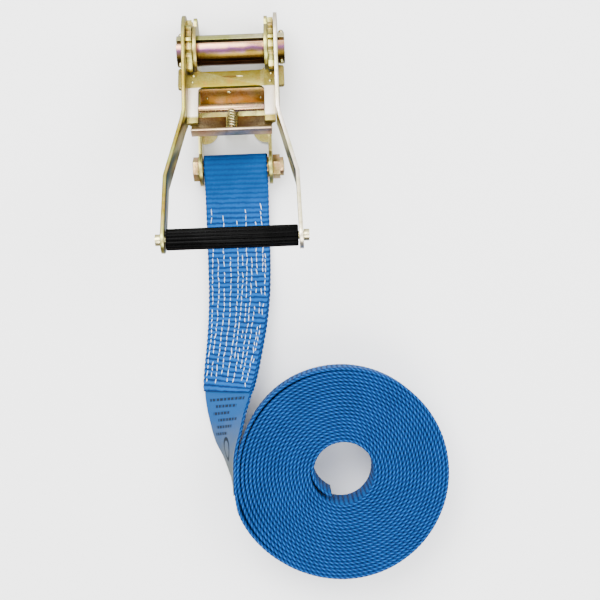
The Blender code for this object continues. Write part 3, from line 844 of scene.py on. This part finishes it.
def band_mesh(name, sampled, columns, distance_offset=0.0, rib_strength=None):
    """A closed mesh of webbing, with its ribs and looped edges as real relief."""
    web = settings("webbing")
    half_width, half_thick = web.width / MM / 2, web.thickness / MM / 2
    pitch = web.rib_pitch / MM
    place, across, outward, distance = sampled
    section = band_section(columns, half_width, half_thick)
    count, ring = len(place), len(section)
    along = (distance + distance_offset) / pitch
    side = np.sign(section[:, 1])
    rib = 1 - np.abs(2 * (along % 1) - 1) ** 3
    if rib_strength is not None:
        rib = 0.7 + (rib - 0.7) * rib_strength
    lean = LOOP_LEAN * 0.5 * section[None, :, 1] / half_thick
    loop = 0.5 + 0.5 * np.cos(math.tau * (along[:, None] + lean))
    edge = section[:, 2][None, :]
    lift = np.where(edge > 0, EDGE_RELIEF * (loop - 0.5), FACE_RELIEF * (rib[:, None] - 0.8))
    spread = np.where(edge > 0, LOOP_REACH * (loop - 0.6), 0.0)
    offset = section[None, :, 1] + side[None, :] * lift
    reach = section[None, :, 0] + np.sign(section[None, :, 0]) * spread
    points = (
        place[:, None, :] + across[:, None, :] * reach[:, :, None]
        + outward[:, None, :] * offset[:, :, None]
    ).reshape(-1, 3)
    faces = []
    for i in range(count - 1):
        row, ahead = i * ring, (i + 1) * ring
        for k in range(ring):
            j = (k + 1) % ring
            faces.append((row + k, row + j, ahead + j, ahead + k))
    faces.append(tuple(range(ring))[::-1])
    last = (count - 1) * ring
    faces.append(tuple(last + k for k in range(ring)))
    mesh = closed_mesh(name, points, faces)
    # The sides of the looped edges are darkened: a painted shade where the turns of the coil lie
    # against each other.
    edge_side_shade = 1 - 0.85 * (np.abs(section[:, 1]) / half_thick) ** 1.5
    relief = np.ones(count) if rib_strength is None else np.clip(rib_strength, 0, 1)

    def everywhere(values):
        return np.broadcast_to(values, (count, ring)).reshape(-1)

    # Pile and shade: on the edges the loop's height times the painted side shade, on the faces the
    # rib's painted light and shade.
    add_values(mesh, "pile", np.where(edge > 0, (0.15 + 0.85 * loop) * edge_side_shade, rib[:, None]).ravel())
    add_values(mesh, "edge", everywhere(edge))
    add_values(mesh, "relief", everywhere(relief[:, None]))
    u = section[None, :, 0] / (2 * half_width) + 0.5
    add_uv(mesh, np.stack([everywhere(u), everywhere(along[:, None])], axis=1))
    mesh.shade_smooth()
    return mesh


def strap_band():
    """Flap, eye round the sleeve, running layer, twist and the coil's outer turn, as one line."""
    web = settings("webbing")
    thick = web.thickness / MM + 0.15
    half_width = web.width / MM / 2
    band = Band()
    for y in np.linspace(FLAP_END_Y, JOIN_Y, 150):
        place, across, outward = strap_place(y)
        band.add(place + outward * thick, across)
    radius = (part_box("spacer_sleeve")[1][2] - SLEEVE.z) / MM + thick / 2 + 0.2
    centre = Vector((STRAP_ROUTE[0][1], BOLT.y, BOLT.z))

    def on_eye(degrees):
        angle = math.radians(degrees)
        return centre + radius * Vector((0, math.cos(angle), math.sin(angle)))

    across = Vector((1, 0, 0))
    upper, lower = band.points[-1], strap_place(JOIN_Y)[0]
    slope = (band.points[-1] - band.points[-2]).normalized()
    over, under = 112, -118  # degrees round the sleeve where the webbing meets and leaves it
    heading = Vector((0, math.sin(math.radians(over)), -math.cos(math.radians(over))))
    reach = 26.0
    for point in curve_between(upper, slope * reach, on_eye(over), heading * reach, 24):
        band.add(point, across)
    for degrees in np.linspace(over, under, 60)[1:]:
        band.add(on_eye(degrees), across)
    heading = Vector((0, math.sin(math.radians(under)), -math.cos(math.radians(under))))
    away = (strap_place(JOIN_Y - 1)[0] - lower).normalized()
    for point in curve_between(on_eye(under), heading * reach, lower, away * reach, 24):
        band.add(point, across)
    for y in np.linspace(JOIN_Y, STRAP_ROUTE[-1][0], 260)[1:]:
        place, across, _ = strap_place(y)
        band.add(place, across)
    spiral = Spiral(web.turn_pitch / MM)
    for angle in np.linspace(spiral.start, spiral.start + math.tau, 420)[1:]:
        band.add(spiral.point(angle, half_width), Vector((0, 0, 1)))
    return band


def coil_band():
    web = settings("webbing")
    half_width = web.width / MM / 2
    spiral = Spiral(web.turn_pitch / MM)
    band = Band()
    for angle in np.linspace(spiral.start + math.tau, spiral.end, 7200):
        band.add(spiral.point(angle, half_width), Vector((0, 0, 1)))
    return band


CALM_LENGTH = 42.0  # how far from the bolt the ribs are pulled flat


class TIEDOWN_OT_webbing(bpy.types.Operator):
    """Weave the strap from its flap round the sleeve to the coil, and wind the coil"""

    bl_idname = "tiedown.webbing"
    bl_label = "Webbing"

    def execute(self, context):
        web = settings("webbing")
        spacing = web.rib_pitch / MM / 4
        strap_line = strap_band().sampled(spacing)
        from_bolt = (strap_line[0][:, 1] - BOLT.y) / -CALM_LENGTH
        strength = 0.3 + 0.7 * np.clip(from_bolt - 0.1, 0, 1) ** 2
        mesh = band_mesh("webbing_strap", strap_line, 12, rib_strength=strength)
        strap = link("webbing_strap", mesh, webbing_cloth())
        finish_piece(strap, "frame", "blue_webbing", "strap_sewn_loop", "strap_twist")
        length = strap_line[3][-1]
        coil_line = coil_band().sampled(spacing)
        mesh = band_mesh("webbing_coil", coil_line, 2, length)
        coil = link("webbing_coil", mesh, webbing_cloth())
        finish_piece(coil, "frame", "blue_webbing", "strap_coil")
        length = coil_line[3][-1]
        return {"FINISHED"}


# ---------- stitching and label ----------

def geometry_group(name, inputs):
    """A geometry node tree with named inputs, as (tree, nodes, input sockets, output node)."""
    tree = bpy.data.node_groups.new(name, "GeometryNodeTree")
    tree.interface.new_socket("Geometry", in_out="INPUT", socket_type="NodeSocketGeometry")
    for socket, (kind, default) in inputs.items():
        made = tree.interface.new_socket(socket, in_out="INPUT", socket_type="NodeSocket" + kind)
        if default is not None:
            made.default_value = default
    tree.interface.new_socket("Geometry", in_out="OUTPUT", socket_type="NodeSocketGeometry")
    nodes = Nodes(tree)
    return tree, nodes, nodes.add("NodeGroupInput").outputs, nodes.add("NodeGroupOutput")


def run_geometry(obj, tree, values):
    """Adds the tree to the object as a modifier and sets its inputs by identifier."""
    modifier = obj.modifiers.new(tree.name, "NODES")
    modifier.node_group = tree
    for item in tree.interface.items_tree:
        if item.item_type == "SOCKET" and item.in_out == "INPUT" and item.name in values:
            modifier[item.identifier] = values[item.name]


def paint_all(nodes, geometry, material, end):
    """The last steps of every tree: realise, shade smooth and set the material."""
    real = nodes.add("GeometryNodeRealizeInstances", {"Geometry": geometry})
    smooth = nodes.add("GeometryNodeSetShadeSmooth", {"Geometry": real.outputs[0]})
    painted = {"Geometry": smooth.outputs[0], "Material": material}
    nodes.put(end.inputs["Geometry"], nodes.add("GeometryNodeSetMaterial", painted).outputs[0])


def scatter_tree(name):
    """Copies a bead to every point of the base mesh, turned and sized by its attributes."""
    tree, nodes, given, end = geometry_group(
        name, {"Radius": ("Float", 0.0003), "Material": ("Material", None)}
    )
    turn, size = (
        nodes.add(
            "GeometryNodeInputNamedAttribute", {"Name": attribute}, data_type="FLOAT_VECTOR"
        ).outputs["Attribute"]
        for attribute in ("turn", "size")
    )
    bead = {"Segments": 8, "Rings": 6, "Radius": given["Radius"]}
    copied = {
        "Points": given["Geometry"], "Rotation": turn, "Scale": size,
        "Instance": nodes.add("GeometryNodeMeshUVSphere", bead).outputs["Mesh"],
    }
    copies = nodes.add("GeometryNodeInstanceOnPoints", copied)
    paint_all(nodes, copies.outputs["Instances"], given["Material"], end)
    return tree


def scatter(name, points, turns, sizes, material, radius):
    """A plain object of one bead at each point, in the frame's metres. radius is in millimetres."""
    tree = once("scattered_beads", lambda: scatter_tree("scattered_beads"))
    mesh = mesh_from(name + "_points", points, [])
    for attribute, values in (("turn", turns), ("size", sizes)):
        layer = mesh.attributes.new(attribute, "FLOAT_VECTOR", "POINT")
        layer.data.foreach_set("vector", np.asarray(values, np.float32).reshape(-1))
    base = link(name + "_base", mesh)
    run_geometry(base, tree, {"Radius": radius * MM, "Material": material})
    return plain_mesh(base, name, material)


# distance across from the strap's middle, and where the row starts and ends along it
STITCH_ROWS = (
    (-21.0, -121, -262), (-16.4, -160, -258), (-11.8, -126, -262), (-6.6, -160, -256),
    (-0.6, -129, -262), (2.6, -158, -240), (6.3, -121, -262), (10.4, -160, -250),
    (14.2, -131, -258), (18.6, -117, -262), (21.4, -158, -244),
)
STITCH_RADIUS = 0.32


def flap_surface(y, x):
    """(place, across, outward, ahead) on the flap's upper face, x across from its middle."""
    web = settings("webbing")
    place, across, outward = strap_place(y)
    top = place + outward * (1.5 * web.thickness / MM + 0.15)
    ahead = (strap_place(y - 0.5)[0] - strap_place(y + 0.5)[0]).normalized()
    return top + across * x, across, outward, ahead


class TIEDOWN_OT_stitching(bpy.types.Operator):
    """Sew the flap down with rows of long uneven stitches"""

    bl_idname = "tiedown.stitching"
    bl_label = "Stitching"

    def execute(self, context):
        rng = random.Random(11)
        pitch = settings("webbing").rib_pitch / MM
        points, turns, sizes = [], [], []
        for x, start, end in STITCH_ROWS:
            y = start - rng.uniform(0, 3)
            side = 1
            drift = 0.0
            while y > end:
                length = pitch * rng.choice((0.75, 0.9, 1.0, 1.4)) * rng.uniform(0.9, 1.1)
                drift = 0.8 * drift + rng.uniform(-0.35, 0.35)
                lean = side * rng.uniform(0.02, 0.22)
                if rng.random() > 0.07:
                    place, across, outward, ahead = flap_surface(y - length / 2, x + drift)
                    along = (ahead + across * lean).normalized()
                    sideways = outward.cross(along).normalized()
                    turn = Matrix((along, sideways, outward)).transposed().to_euler()
                    points.append(tuple(to_row(place + outward * 0.12)))
                    turns.append(tuple(turn))
                    sizes.append((length / 2 / STITCH_RADIUS, rng.uniform(0.75, 1.0), 0.9))
                y -= length + pitch * rng.uniform(0.05, 0.28)
                side = -side if rng.random() < 0.8 else side
        stitches = scatter("stitching", points, turns, sizes, thread_yarn(), STITCH_RADIUS)
        finish_piece(stitches, "frame", "blue_webbing")
        return {"FINISHED"}


LABEL_THICK = 0.5
LABEL_STEPS, LABEL_COLUMNS = 60, 16


class TIEDOWN_OT_label(bpy.types.Operator):
    """Lay the cloth label on the strap below the flap"""

    bl_idname = "tiedown.label"
    bl_label = "Label"

    def execute(self, context):
        web = settings("webbing")
        half_width = web.width / MM / 2 - 0.6
        start, end = FLAP_END_Y + 8, STRAP_ROUTE[-1][0] + 12
        points, uvs = [], []
        for side in (1, 0):
            for i in range(LABEL_STEPS + 1):
                t = i / LABEL_STEPS
                place, across, outward = strap_place(start + (end - start) * t)
                under_flap = smooth_step(t, 0.0, 0.16)
                for k in range(LABEL_COLUMNS + 1):
                    u = k / LABEL_COLUMNS
                    puff = 0.25 * under_flap * math.sin(5 * u + 9 * t) ** 2
                    lift = web.thickness / MM / 2 + 0.08 + puff + side * LABEL_THICK
                    points.append(place + across * half_width * (2 * u - 1) + outward * lift)
                    uvs.append((u, t))
        row = LABEL_COLUMNS + 1
        layer = row * (LABEL_STEPS + 1)
        faces = []
        for i in range(LABEL_STEPS):
            for k in range(LABEL_COLUMNS):
                a = i * row + k
                faces.append((a, a + 1, a + row + 1, a + row))
                faces.append((layer + a, layer + a + row, layer + a + row + 1, layer + a + 1))
        rim = list(range(row))
        rim += [(i + 1) * row + LABEL_COLUMNS for i in range(LABEL_STEPS)]
        rim += [LABEL_STEPS * row + k for k in range(LABEL_COLUMNS - 1, -1, -1)]
        rim += [i * row for i in range(LABEL_STEPS - 1, 0, -1)]
        for a, b in zip(rim, rim[1:] + rim[:1]):
            faces.append((a, layer + a, layer + b, b))
        mesh = closed_mesh("label", points, faces)
        add_uv(mesh, uvs)
        mesh.shade_smooth()
        mesh.set_sharp_from_angle(angle=math.radians(50))
        label = link("label", mesh, printed_label())
        finish_piece(label, "frame", "label_cloth", "strap_label")
        length = (strap_place(start)[0] - strap_place(end)[0]).length
        return {"FINISHED"}


# ---------- plated metal ----------

ROUND_DEGREES = 40  # edges sharper than this are rounded
SHARP_DEGREES = 35  # and those sharper than this stay creased in the shading


def rounded_copy(node, width, segments):
    """A work object of a node's mesh, joined along its seams, with a modifier that rounds it."""
    bm = bmesh.new()
    bm.from_mesh(frame["nodes"][node].data)
    bmesh.ops.remove_doubles(bm, verts=bm.verts, dist=1e-6)
    bmesh.ops.dissolve_limit(
        bm, angle_limit=math.radians(1), use_dissolve_boundaries=False, verts=bm.verts,
        edges=bm.edges,
    )
    mesh = bpy.data.meshes.new(node + "_finish")
    bm.to_mesh(mesh)
    bm.free()
    obj = link(node + "_work", mesh)
    bevel = obj.modifiers.new("Rounded", "BEVEL")
    bevel.width = width
    bevel.segments = segments
    bevel.limit_method = "ANGLE"
    bevel.angle_limit = math.radians(ROUND_DEGREES)
    return obj


def mark_edges(mesh, width):
    """An edge attribute: 1 on the narrow rounding faces and less where they meet broad ones."""
    broad = np.zeros(len(mesh.vertices), bool)
    limit = (3 * width) ** 2
    for face in mesh.polygons:
        if face.area > limit:
            broad[list(face.vertices)] = True
    near = np.zeros(len(mesh.vertices), bool)
    for a, b in (edge.vertices for edge in mesh.edges):
        if broad[a] != broad[b]:
            near[a] = near[b] = True
    add_values(mesh, "edge", np.where(broad, np.where(near, 0.35, 0.0), 1.0))


def mark_rim(mesh):
    """A UV map whose u is 1 on the faces of a plate's cut edge and 0 on its broad sides."""
    layer = mesh.uv_layers.new(name="UVMap")
    for face in mesh.polygons:
        on_rim = float(abs(face.normal.x) < 0.35)
        for corner in face.loop_indices:
            layer.data[corner].uv = (on_rim, 0.0)


def dress_node(node, material, width, segments=2):
    """The finished piece of one node."""
    made = plain_mesh(rounded_copy(node, width, segments), node + "_finished", material)
    mark_edges(made.data, width)
    made.data.shade_smooth()
    made.data.set_sharp_from_angle(angle=math.radians(SHARP_DEGREES))
    finish_piece(made, body_of_node(node), slot_of_node(node), node)
    return made


class TIEDOWN_OT_plates(bpy.types.Operator):
    """Round and plate the frame, arms, bridge, wheels and pawls"""

    bl_idname = "tiedown.plates"
    bl_label = "Plates"

    def execute(self, context):
        width = settings("metal").edge
        for node in (
            "base_frame", "handle_arm_left", "ratchet_wheel_left", "ratchet_wheel_right",
        ):
            dress_node(node, plated("plated_plate"), width)
        mark_rim(dress_node("handle_arm_right", arm_metal(), width).data)
        # The bridge's plate is painted brown as shade.
        dress_node("handle_bridge", bridge_metal_with_painted_shade(), width)
        dress_node("drive_pawl", pawl_metal(), width)
        dress_node("lock_pawl", plated("plated_lock"), width)
        return {"FINISHED"}


def handle_place(x, rho, zeta):
    """A place in metres from one on the handle: along the spindle, out from it, off its plane."""
    cos, sin = math.cos(HANDLE_ANGLE), math.sin(HANDLE_ANGLE)
    y, z = -rho * cos + zeta * sin, SPINDLE_Z + rho * sin + zeta * cos
    return Vector(to_row((x, y, z)))


PAWL_TOP = 1.5  # the height of each pawl's upper face over its middle
# across the handle, and out along it from the spindle
PAWL_PIPS = ((-29.0, 26.4), (-29.8, 32.6), (30.8, 26.4), (30.0, 33.7))
LOCK_PIPS = ((-20.8, -35.6), (21.5, -36.2), (-3.4, -31.2))  # x and y, as the lock pawl lies flat


class TIEDOWN_OT_pawl_details(bpy.types.Operator):
    """Stamp the pawls with their domes and the short raised mark"""

    bl_idname = "tiedown.pawl_details"
    bl_label = "Pawl Details"

    def execute(self, context):
        tilt = (-HANDLE_ANGLE, 0.0, 0.0)
        count = len(PAWL_PIPS)
        places = [tuple(handle_place(x, rho, PAWL_TOP)) for x, rho in PAWL_PIPS]
        sizes = [(1.25, 1.25, 0.9)] * count
        bright = plated("plated_bright")
        domes = scatter("pawl_domes", places, [tilt] * count, sizes, bright, 1.1)
        finish_piece(domes, "drive_pawl", "zinc_pawl")
        for name, x, size, metal in (
            # The dark mark is a painted shadow along the stamp, beside the bright one.
            ("pawl_mark_dark", 0.0, (7.0, 0.75, 0.6), stamped_shadow()),
            ("pawl_mark_bright", 6.5, (3.4, 0.55, 0.7), bright),
        ):
            place = [tuple(handle_place(x, 28.1, PAWL_TOP - 0.05))]
            mark = scatter(name, place, [tilt], [size], metal, 1.1)
            finish_piece(mark, "drive_pawl", "zinc_pawl")
        top = middle_of("lock_pawl").z + PAWL_TOP * MM
        places = [(*to_row((x, y, 0))[:2], top) for x, y in LOCK_PIPS]
        sizes = [(1.0, 1.0, 0.6), (1.0, 1.0, 0.6), (2.0, 1.1, 0.6)]
        domes = scatter("lock_domes", places, [(0, 0, 0)] * len(places), sizes, bright, 1.0)
        finish_piece(domes, "lock_pawl", "zinc_pawl")
        return {"FINISHED"}


class TIEDOWN_OT_spindle(bpy.types.Operator):
    """Round and plate the two halves of the spindle and their split pins"""

    bl_idname = "tiedown.spindle"
    bl_label = "Spindle"

    def execute(self, context):
        width = settings("metal").edge
        # Painted reflection and shade: the upper half's pale film and the lower half's ramp, darker
        # towards the webbing.
        dress_node("spindle_upper_half", plated("plated_pale"), width)
        dress_node("spindle_lower_half", spindle_painted_light_metal(), width)
        for node in ("split_pin_left", "split_pin_right"):
            dress_node(node, plated("plated_bright"), width)
        return {"FINISHED"}


class TIEDOWN_OT_fasteners(bpy.types.Operator):
    """Round and plate the bolt, nut, sleeve, rods and post"""

    bl_idname = "tiedown.fasteners"
    bl_label = "Fasteners"

    def execute(self, context):
        width = settings("metal").edge
        for node in ("clamp_bolt", "lock_nut", "spacer_sleeve", "spring_post"):
            dress_node(node, plated("plated_fastener"), 1.3 * width, 3)
        dress_node("pull_rod", plated("plated_spindle"), width)
        dress_node("grip_rod", plated("plated_bright"), 3 * width, 4)
        return {"FINISHED"}


# ---------- springs ----------

def spring_tree():
    """A helix of round wire along the object's base line."""
    tree, nodes, given, end = geometry_group(
        "spring_helix",
        {
            "Turns": ("Float", 7.0), "Length": ("Float", 0.02), "Radius": ("Float", 0.003),
            "Wire": ("Float", 0.0005), "Material": ("Material", None),
        },
    )
    helix = nodes.add(
        "GeometryNodeCurveSpiral",
        {
            "Resolution": 28, "Rotations": given["Turns"], "Start Radius": given["Radius"],
            "End Radius": given["Radius"], "Height": given["Length"],
        },
    )
    round_wire = {"Resolution": 10, "Radius": given["Wire"]}
    wire = nodes.add("GeometryNodeCurvePrimitiveCircle", round_wire)
    swept = nodes.add(
        "GeometryNodeCurveToMesh",
        {"Curve": helix.outputs[0], "Profile Curve": wire.outputs[0], "Fill Caps": True},
    )
    paint_all(nodes, swept.outputs[0], given["Material"], end)
    return tree


SPRING_WIRE = 0.5


def make_spring(name, node, start, end, radius, turns):
    """A spring from start to end, in working millimetres."""
    base = link(name + "_base", mesh_from(name + "_base", [(0, 0, 0)], []))
    run_geometry(base, once("spring_helix", spring_tree), {
        "Turns": turns, "Length": (end - start).length * MM, "Radius": radius * MM,
        "Wire": SPRING_WIRE * MM, "Material": plated("plated_bright"),
    })
    spring = plain_mesh(base, name, plated("plated_bright"))
    turn = (end - start).to_track_quat("Z", "Y").to_matrix().to_4x4()
    spring.data.transform(Matrix.Translation(ORIGIN + start * MM) @ turn)
    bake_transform(spring)
    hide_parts(node)


class TIEDOWN_OT_springs(bpy.types.Operator):
    """Coil the springs of the two pawls"""

    bl_idname = "tiedown.springs"
    bl_label = "Springs"

    def execute(self, context):
        tilt = Matrix.Rotation(-HANDLE_ANGLE, 3, "X")
        axis = Vector((0, 0, SPINDLE_Z))
        make_spring(
            "drive_spring_coils", "drive_spring",
            axis + tilt @ Vector((0, -77.3, 0)), axis + tilt @ Vector((0, -61.7, 0)), 2.8, 6.0,
        )
        middle = (middle_of("lock_spring") - ORIGIN) / MM
        make_spring(
            "lock_spring_coils", "lock_spring",
            Vector((0, middle.y - 8.8, middle.z)), Vector((0, middle.y + 8.8, middle.z)), 3.0, 7.0,
        )
        return {"FINISHED"}


# ---------- grip ----------

GRIP_BORE = 3.4  # the radius of the hole through the grip, on its rod
GRIP_ROUNDING = ((0, -0.0009), (0.0003, -0.0003), (0.001, 0))  # metres along, and off the radius


class TIEDOWN_OT_grip(bpy.types.Operator):
    """Mould the black grip with its long ribs"""

    bl_idname = "tiedown.grip"
    bl_label = "Grip"

    def execute(self, context):
        grip = settings("grip")
        low, high = (Vector(corner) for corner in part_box("grip_tube"))
        centre = (low + high) / 2
        outer = (high.z - low.z) / 2
        sides = grip.ribs * 8
        length = high.x - low.x
        ends = [*GRIP_ROUNDING, *((length - x, shrink) for x, shrink in reversed(GRIP_ROUNDING))]
        bm = bmesh.new()

        def ring(x, radius_at):
            made = []
            for k in range(sides):
                angle = math.tau * k / sides
                radius = radius_at(angle)
                across, up = radius * math.cos(angle), radius * math.sin(angle)
                made.append(bm.verts.new((low.x + x, centre.y + across, centre.z + up)))
            return made

        def ribbed(angle, shrink):
            phase = (grip.ribs * angle / math.tau) % 1
            channel = smooth_step(abs(2 * phase - 1), 0.62, 0.86)
            return outer + shrink - grip.rib_depth * channel

        outside = [ring(x, lambda a, s=shrink: ribbed(a, s)) for x, shrink in ends]
        inside = [ring(x, lambda a: GRIP_BORE * MM) for x in (length, 0)]
        loops = outside + inside
        for first, second in zip(loops, loops[1:] + loops[:1]):
            for k in range(sides):
                j = (k + 1) % sides
                bm.faces.new((first[k], first[j], second[j], second[k]))
        bmesh.ops.recalc_face_normals(bm, faces=bm.faces)
        mesh = bpy.data.meshes.new("grip_sleeve")
        bm.to_mesh(mesh)
        bm.free()
        mesh.shade_smooth()
        mesh.set_sharp_from_angle(angle=math.radians(50))
        made = link("grip_sleeve", mesh, grip_plastic())
        finish_piece(made, "grip", "black_plastic", "grip_tube")
        return {"FINISHED"}


# ---------- stage ----------

FLOOR_HALF = 6.0  # metres
VIEW_CENTRE = Vector((46.5, -198.0, 0))
LIGHTS = (  # name, place and size in metres, power in watts
    ("key_light", (-0.5, 0.9, 1.7), 1.2, 70.0), ("fill_light", (1.3, 0.3, 1.5), 1.0, 30.0),
    ("front_light", (0.1, -1.2, 1.6), 1.0, 30.0),
)
SKY = (  # height from below the floor to overhead, and its colour
    (0.0, (0.55, 0.54, 0.52)), (0.36, (0.22, 0.2, 0.18)), (0.46, (0.03, 0.025, 0.02)),
    (0.58, (0.05, 0.045, 0.04)), (0.7, (0.4, 0.4, 0.4)), (0.84, (1.0, 1.0, 1.0)),
)
SKY_STRENGTH = 2.6


class TIEDOWN_OT_stage(bpy.types.Operator):
    """Set up the floor, the soft lights and the camera above the object"""

    bl_idname = "tiedown.stage"
    bl_label = "Stage"

    def execute(self, context):
        stage = settings("stage")
        material, nodes, shader = new_material("floor_card", roughness=0.9)
        nodes.put(shader.inputs["Base Color"], (*stage.floor, 1))
        half = FLOOR_HALF
        corners = [(-half, -half, 0), (half, -half, 0), (half, half, 0), (-half, half, 0)]
        floor = link("floor", mesh_from("floor", corners, [(0, 1, 2, 3)]), material)
        floor.visible_glossy = False
        for name, place, size, power in LIGHTS:
            data = bpy.data.lights.new(name, "AREA")
            data.shape = "SQUARE"
            data.size = size
            data.energy = power
            light = bpy.data.objects.new(name, data)
            bpy.context.collection.objects.link(light)
            light.location = place
            light.rotation_euler = (-Vector(place)).to_track_quat("-Z", "Y").to_euler()
        world = bpy.data.worlds.new("studio")
        bpy.context.scene.world = world
        world.use_nodes = True
        sky = Nodes(world.node_tree)
        around = sky.add("ShaderNodeTexCoord").outputs["Generated"]
        way = sky.add("ShaderNodeSeparateXYZ", {0: around})
        lift = sky.math("MULTIPLY_ADD", way.outputs[1], 0.12, way.outputs[2])
        behind = sky.ramp(way.outputs[1], (0.66, 0.0), (0.97, 0.6))
        colour = sky.ramp(sky.math("MULTIPLY_ADD", lift, 0.5, 0.5), *SKY)
        background = world.node_tree.nodes["Background"]
        sky.put(background.inputs["Color"], sky.mix(1.0, colour, behind, "ADD"))
        background.inputs["Strength"].default_value = SKY_STRENGTH
        data = bpy.data.cameras.new("camera")
        data.lens = stage.lens
        camera = bpy.data.objects.new("camera", data)
        bpy.context.collection.objects.link(camera)
        camera.location = ORIGIN + VIEW_CENTRE * MM + Vector((0, 0, stage.distance))
        camera.rotation_euler = (0, 0, stage.roll)
        bpy.context.scene.camera = camera
        return {"FINISHED"}


class TIEDOWN_PT_panel(bpy.types.Panel):
    """Lists the steps that finish the tie down"""

    bl_idname = "TIEDOWN_PT_panel"
    bl_label = "Tie Down"
    bl_space_type = "VIEW_3D"
    bl_region_type = "UI"
    bl_category = "Tie Down"

    def draw(self, context):
        for operator in OPERATORS:
            self.layout.operator(operator.bl_idname)
        for group in SETTINGS:
            column = self.layout.column(align=True)
            column.label(text=group.title())
            for name in SETTINGS[group].__annotations__:
                column.prop(settings(group), name)


OPERATORS = (
    TIEDOWN_OT_stage, TIEDOWN_OT_webbing, TIEDOWN_OT_stitching, TIEDOWN_OT_label, TIEDOWN_OT_plates,
    TIEDOWN_OT_pawl_details, TIEDOWN_OT_spindle, TIEDOWN_OT_fasteners, TIEDOWN_OT_springs,
    TIEDOWN_OT_grip,
)
SETTINGS = {
    "webbing": WebbingSettings, "metal": MetalSettings,
    "grip": GripSettings, "stage": StageSettings,
}
CLASSES = (*SETTINGS.values(), *OPERATORS, TIEDOWN_PT_panel)


def register():
    for cls in CLASSES:
        bpy.utils.register_class(cls)
    for group, cls in SETTINGS.items():
        setattr(bpy.types.Scene, "tie_down_" + group, bpy.props.PointerProperty(type=cls))


def unregister():
    for group in SETTINGS:
        delattr(bpy.types.Scene, "tie_down_" + group)
    for cls in reversed(CLASSES):
        bpy.utils.unregister_class(cls)


def main():
    register()
    bpy.ops.tiedown.stage()
    bpy.ops.tiedown.webbing()
    bpy.ops.tiedown.stitching()
    bpy.ops.tiedown.label()
    bpy.ops.tiedown.plates()
    bpy.ops.tiedown.pawl_details()
    bpy.ops.tiedown.spindle()
    bpy.ops.tiedown.fasteners()
    bpy.ops.tiedown.springs()
    bpy.ops.tiedown.grip()


if __name__ == "__main__":
    main()
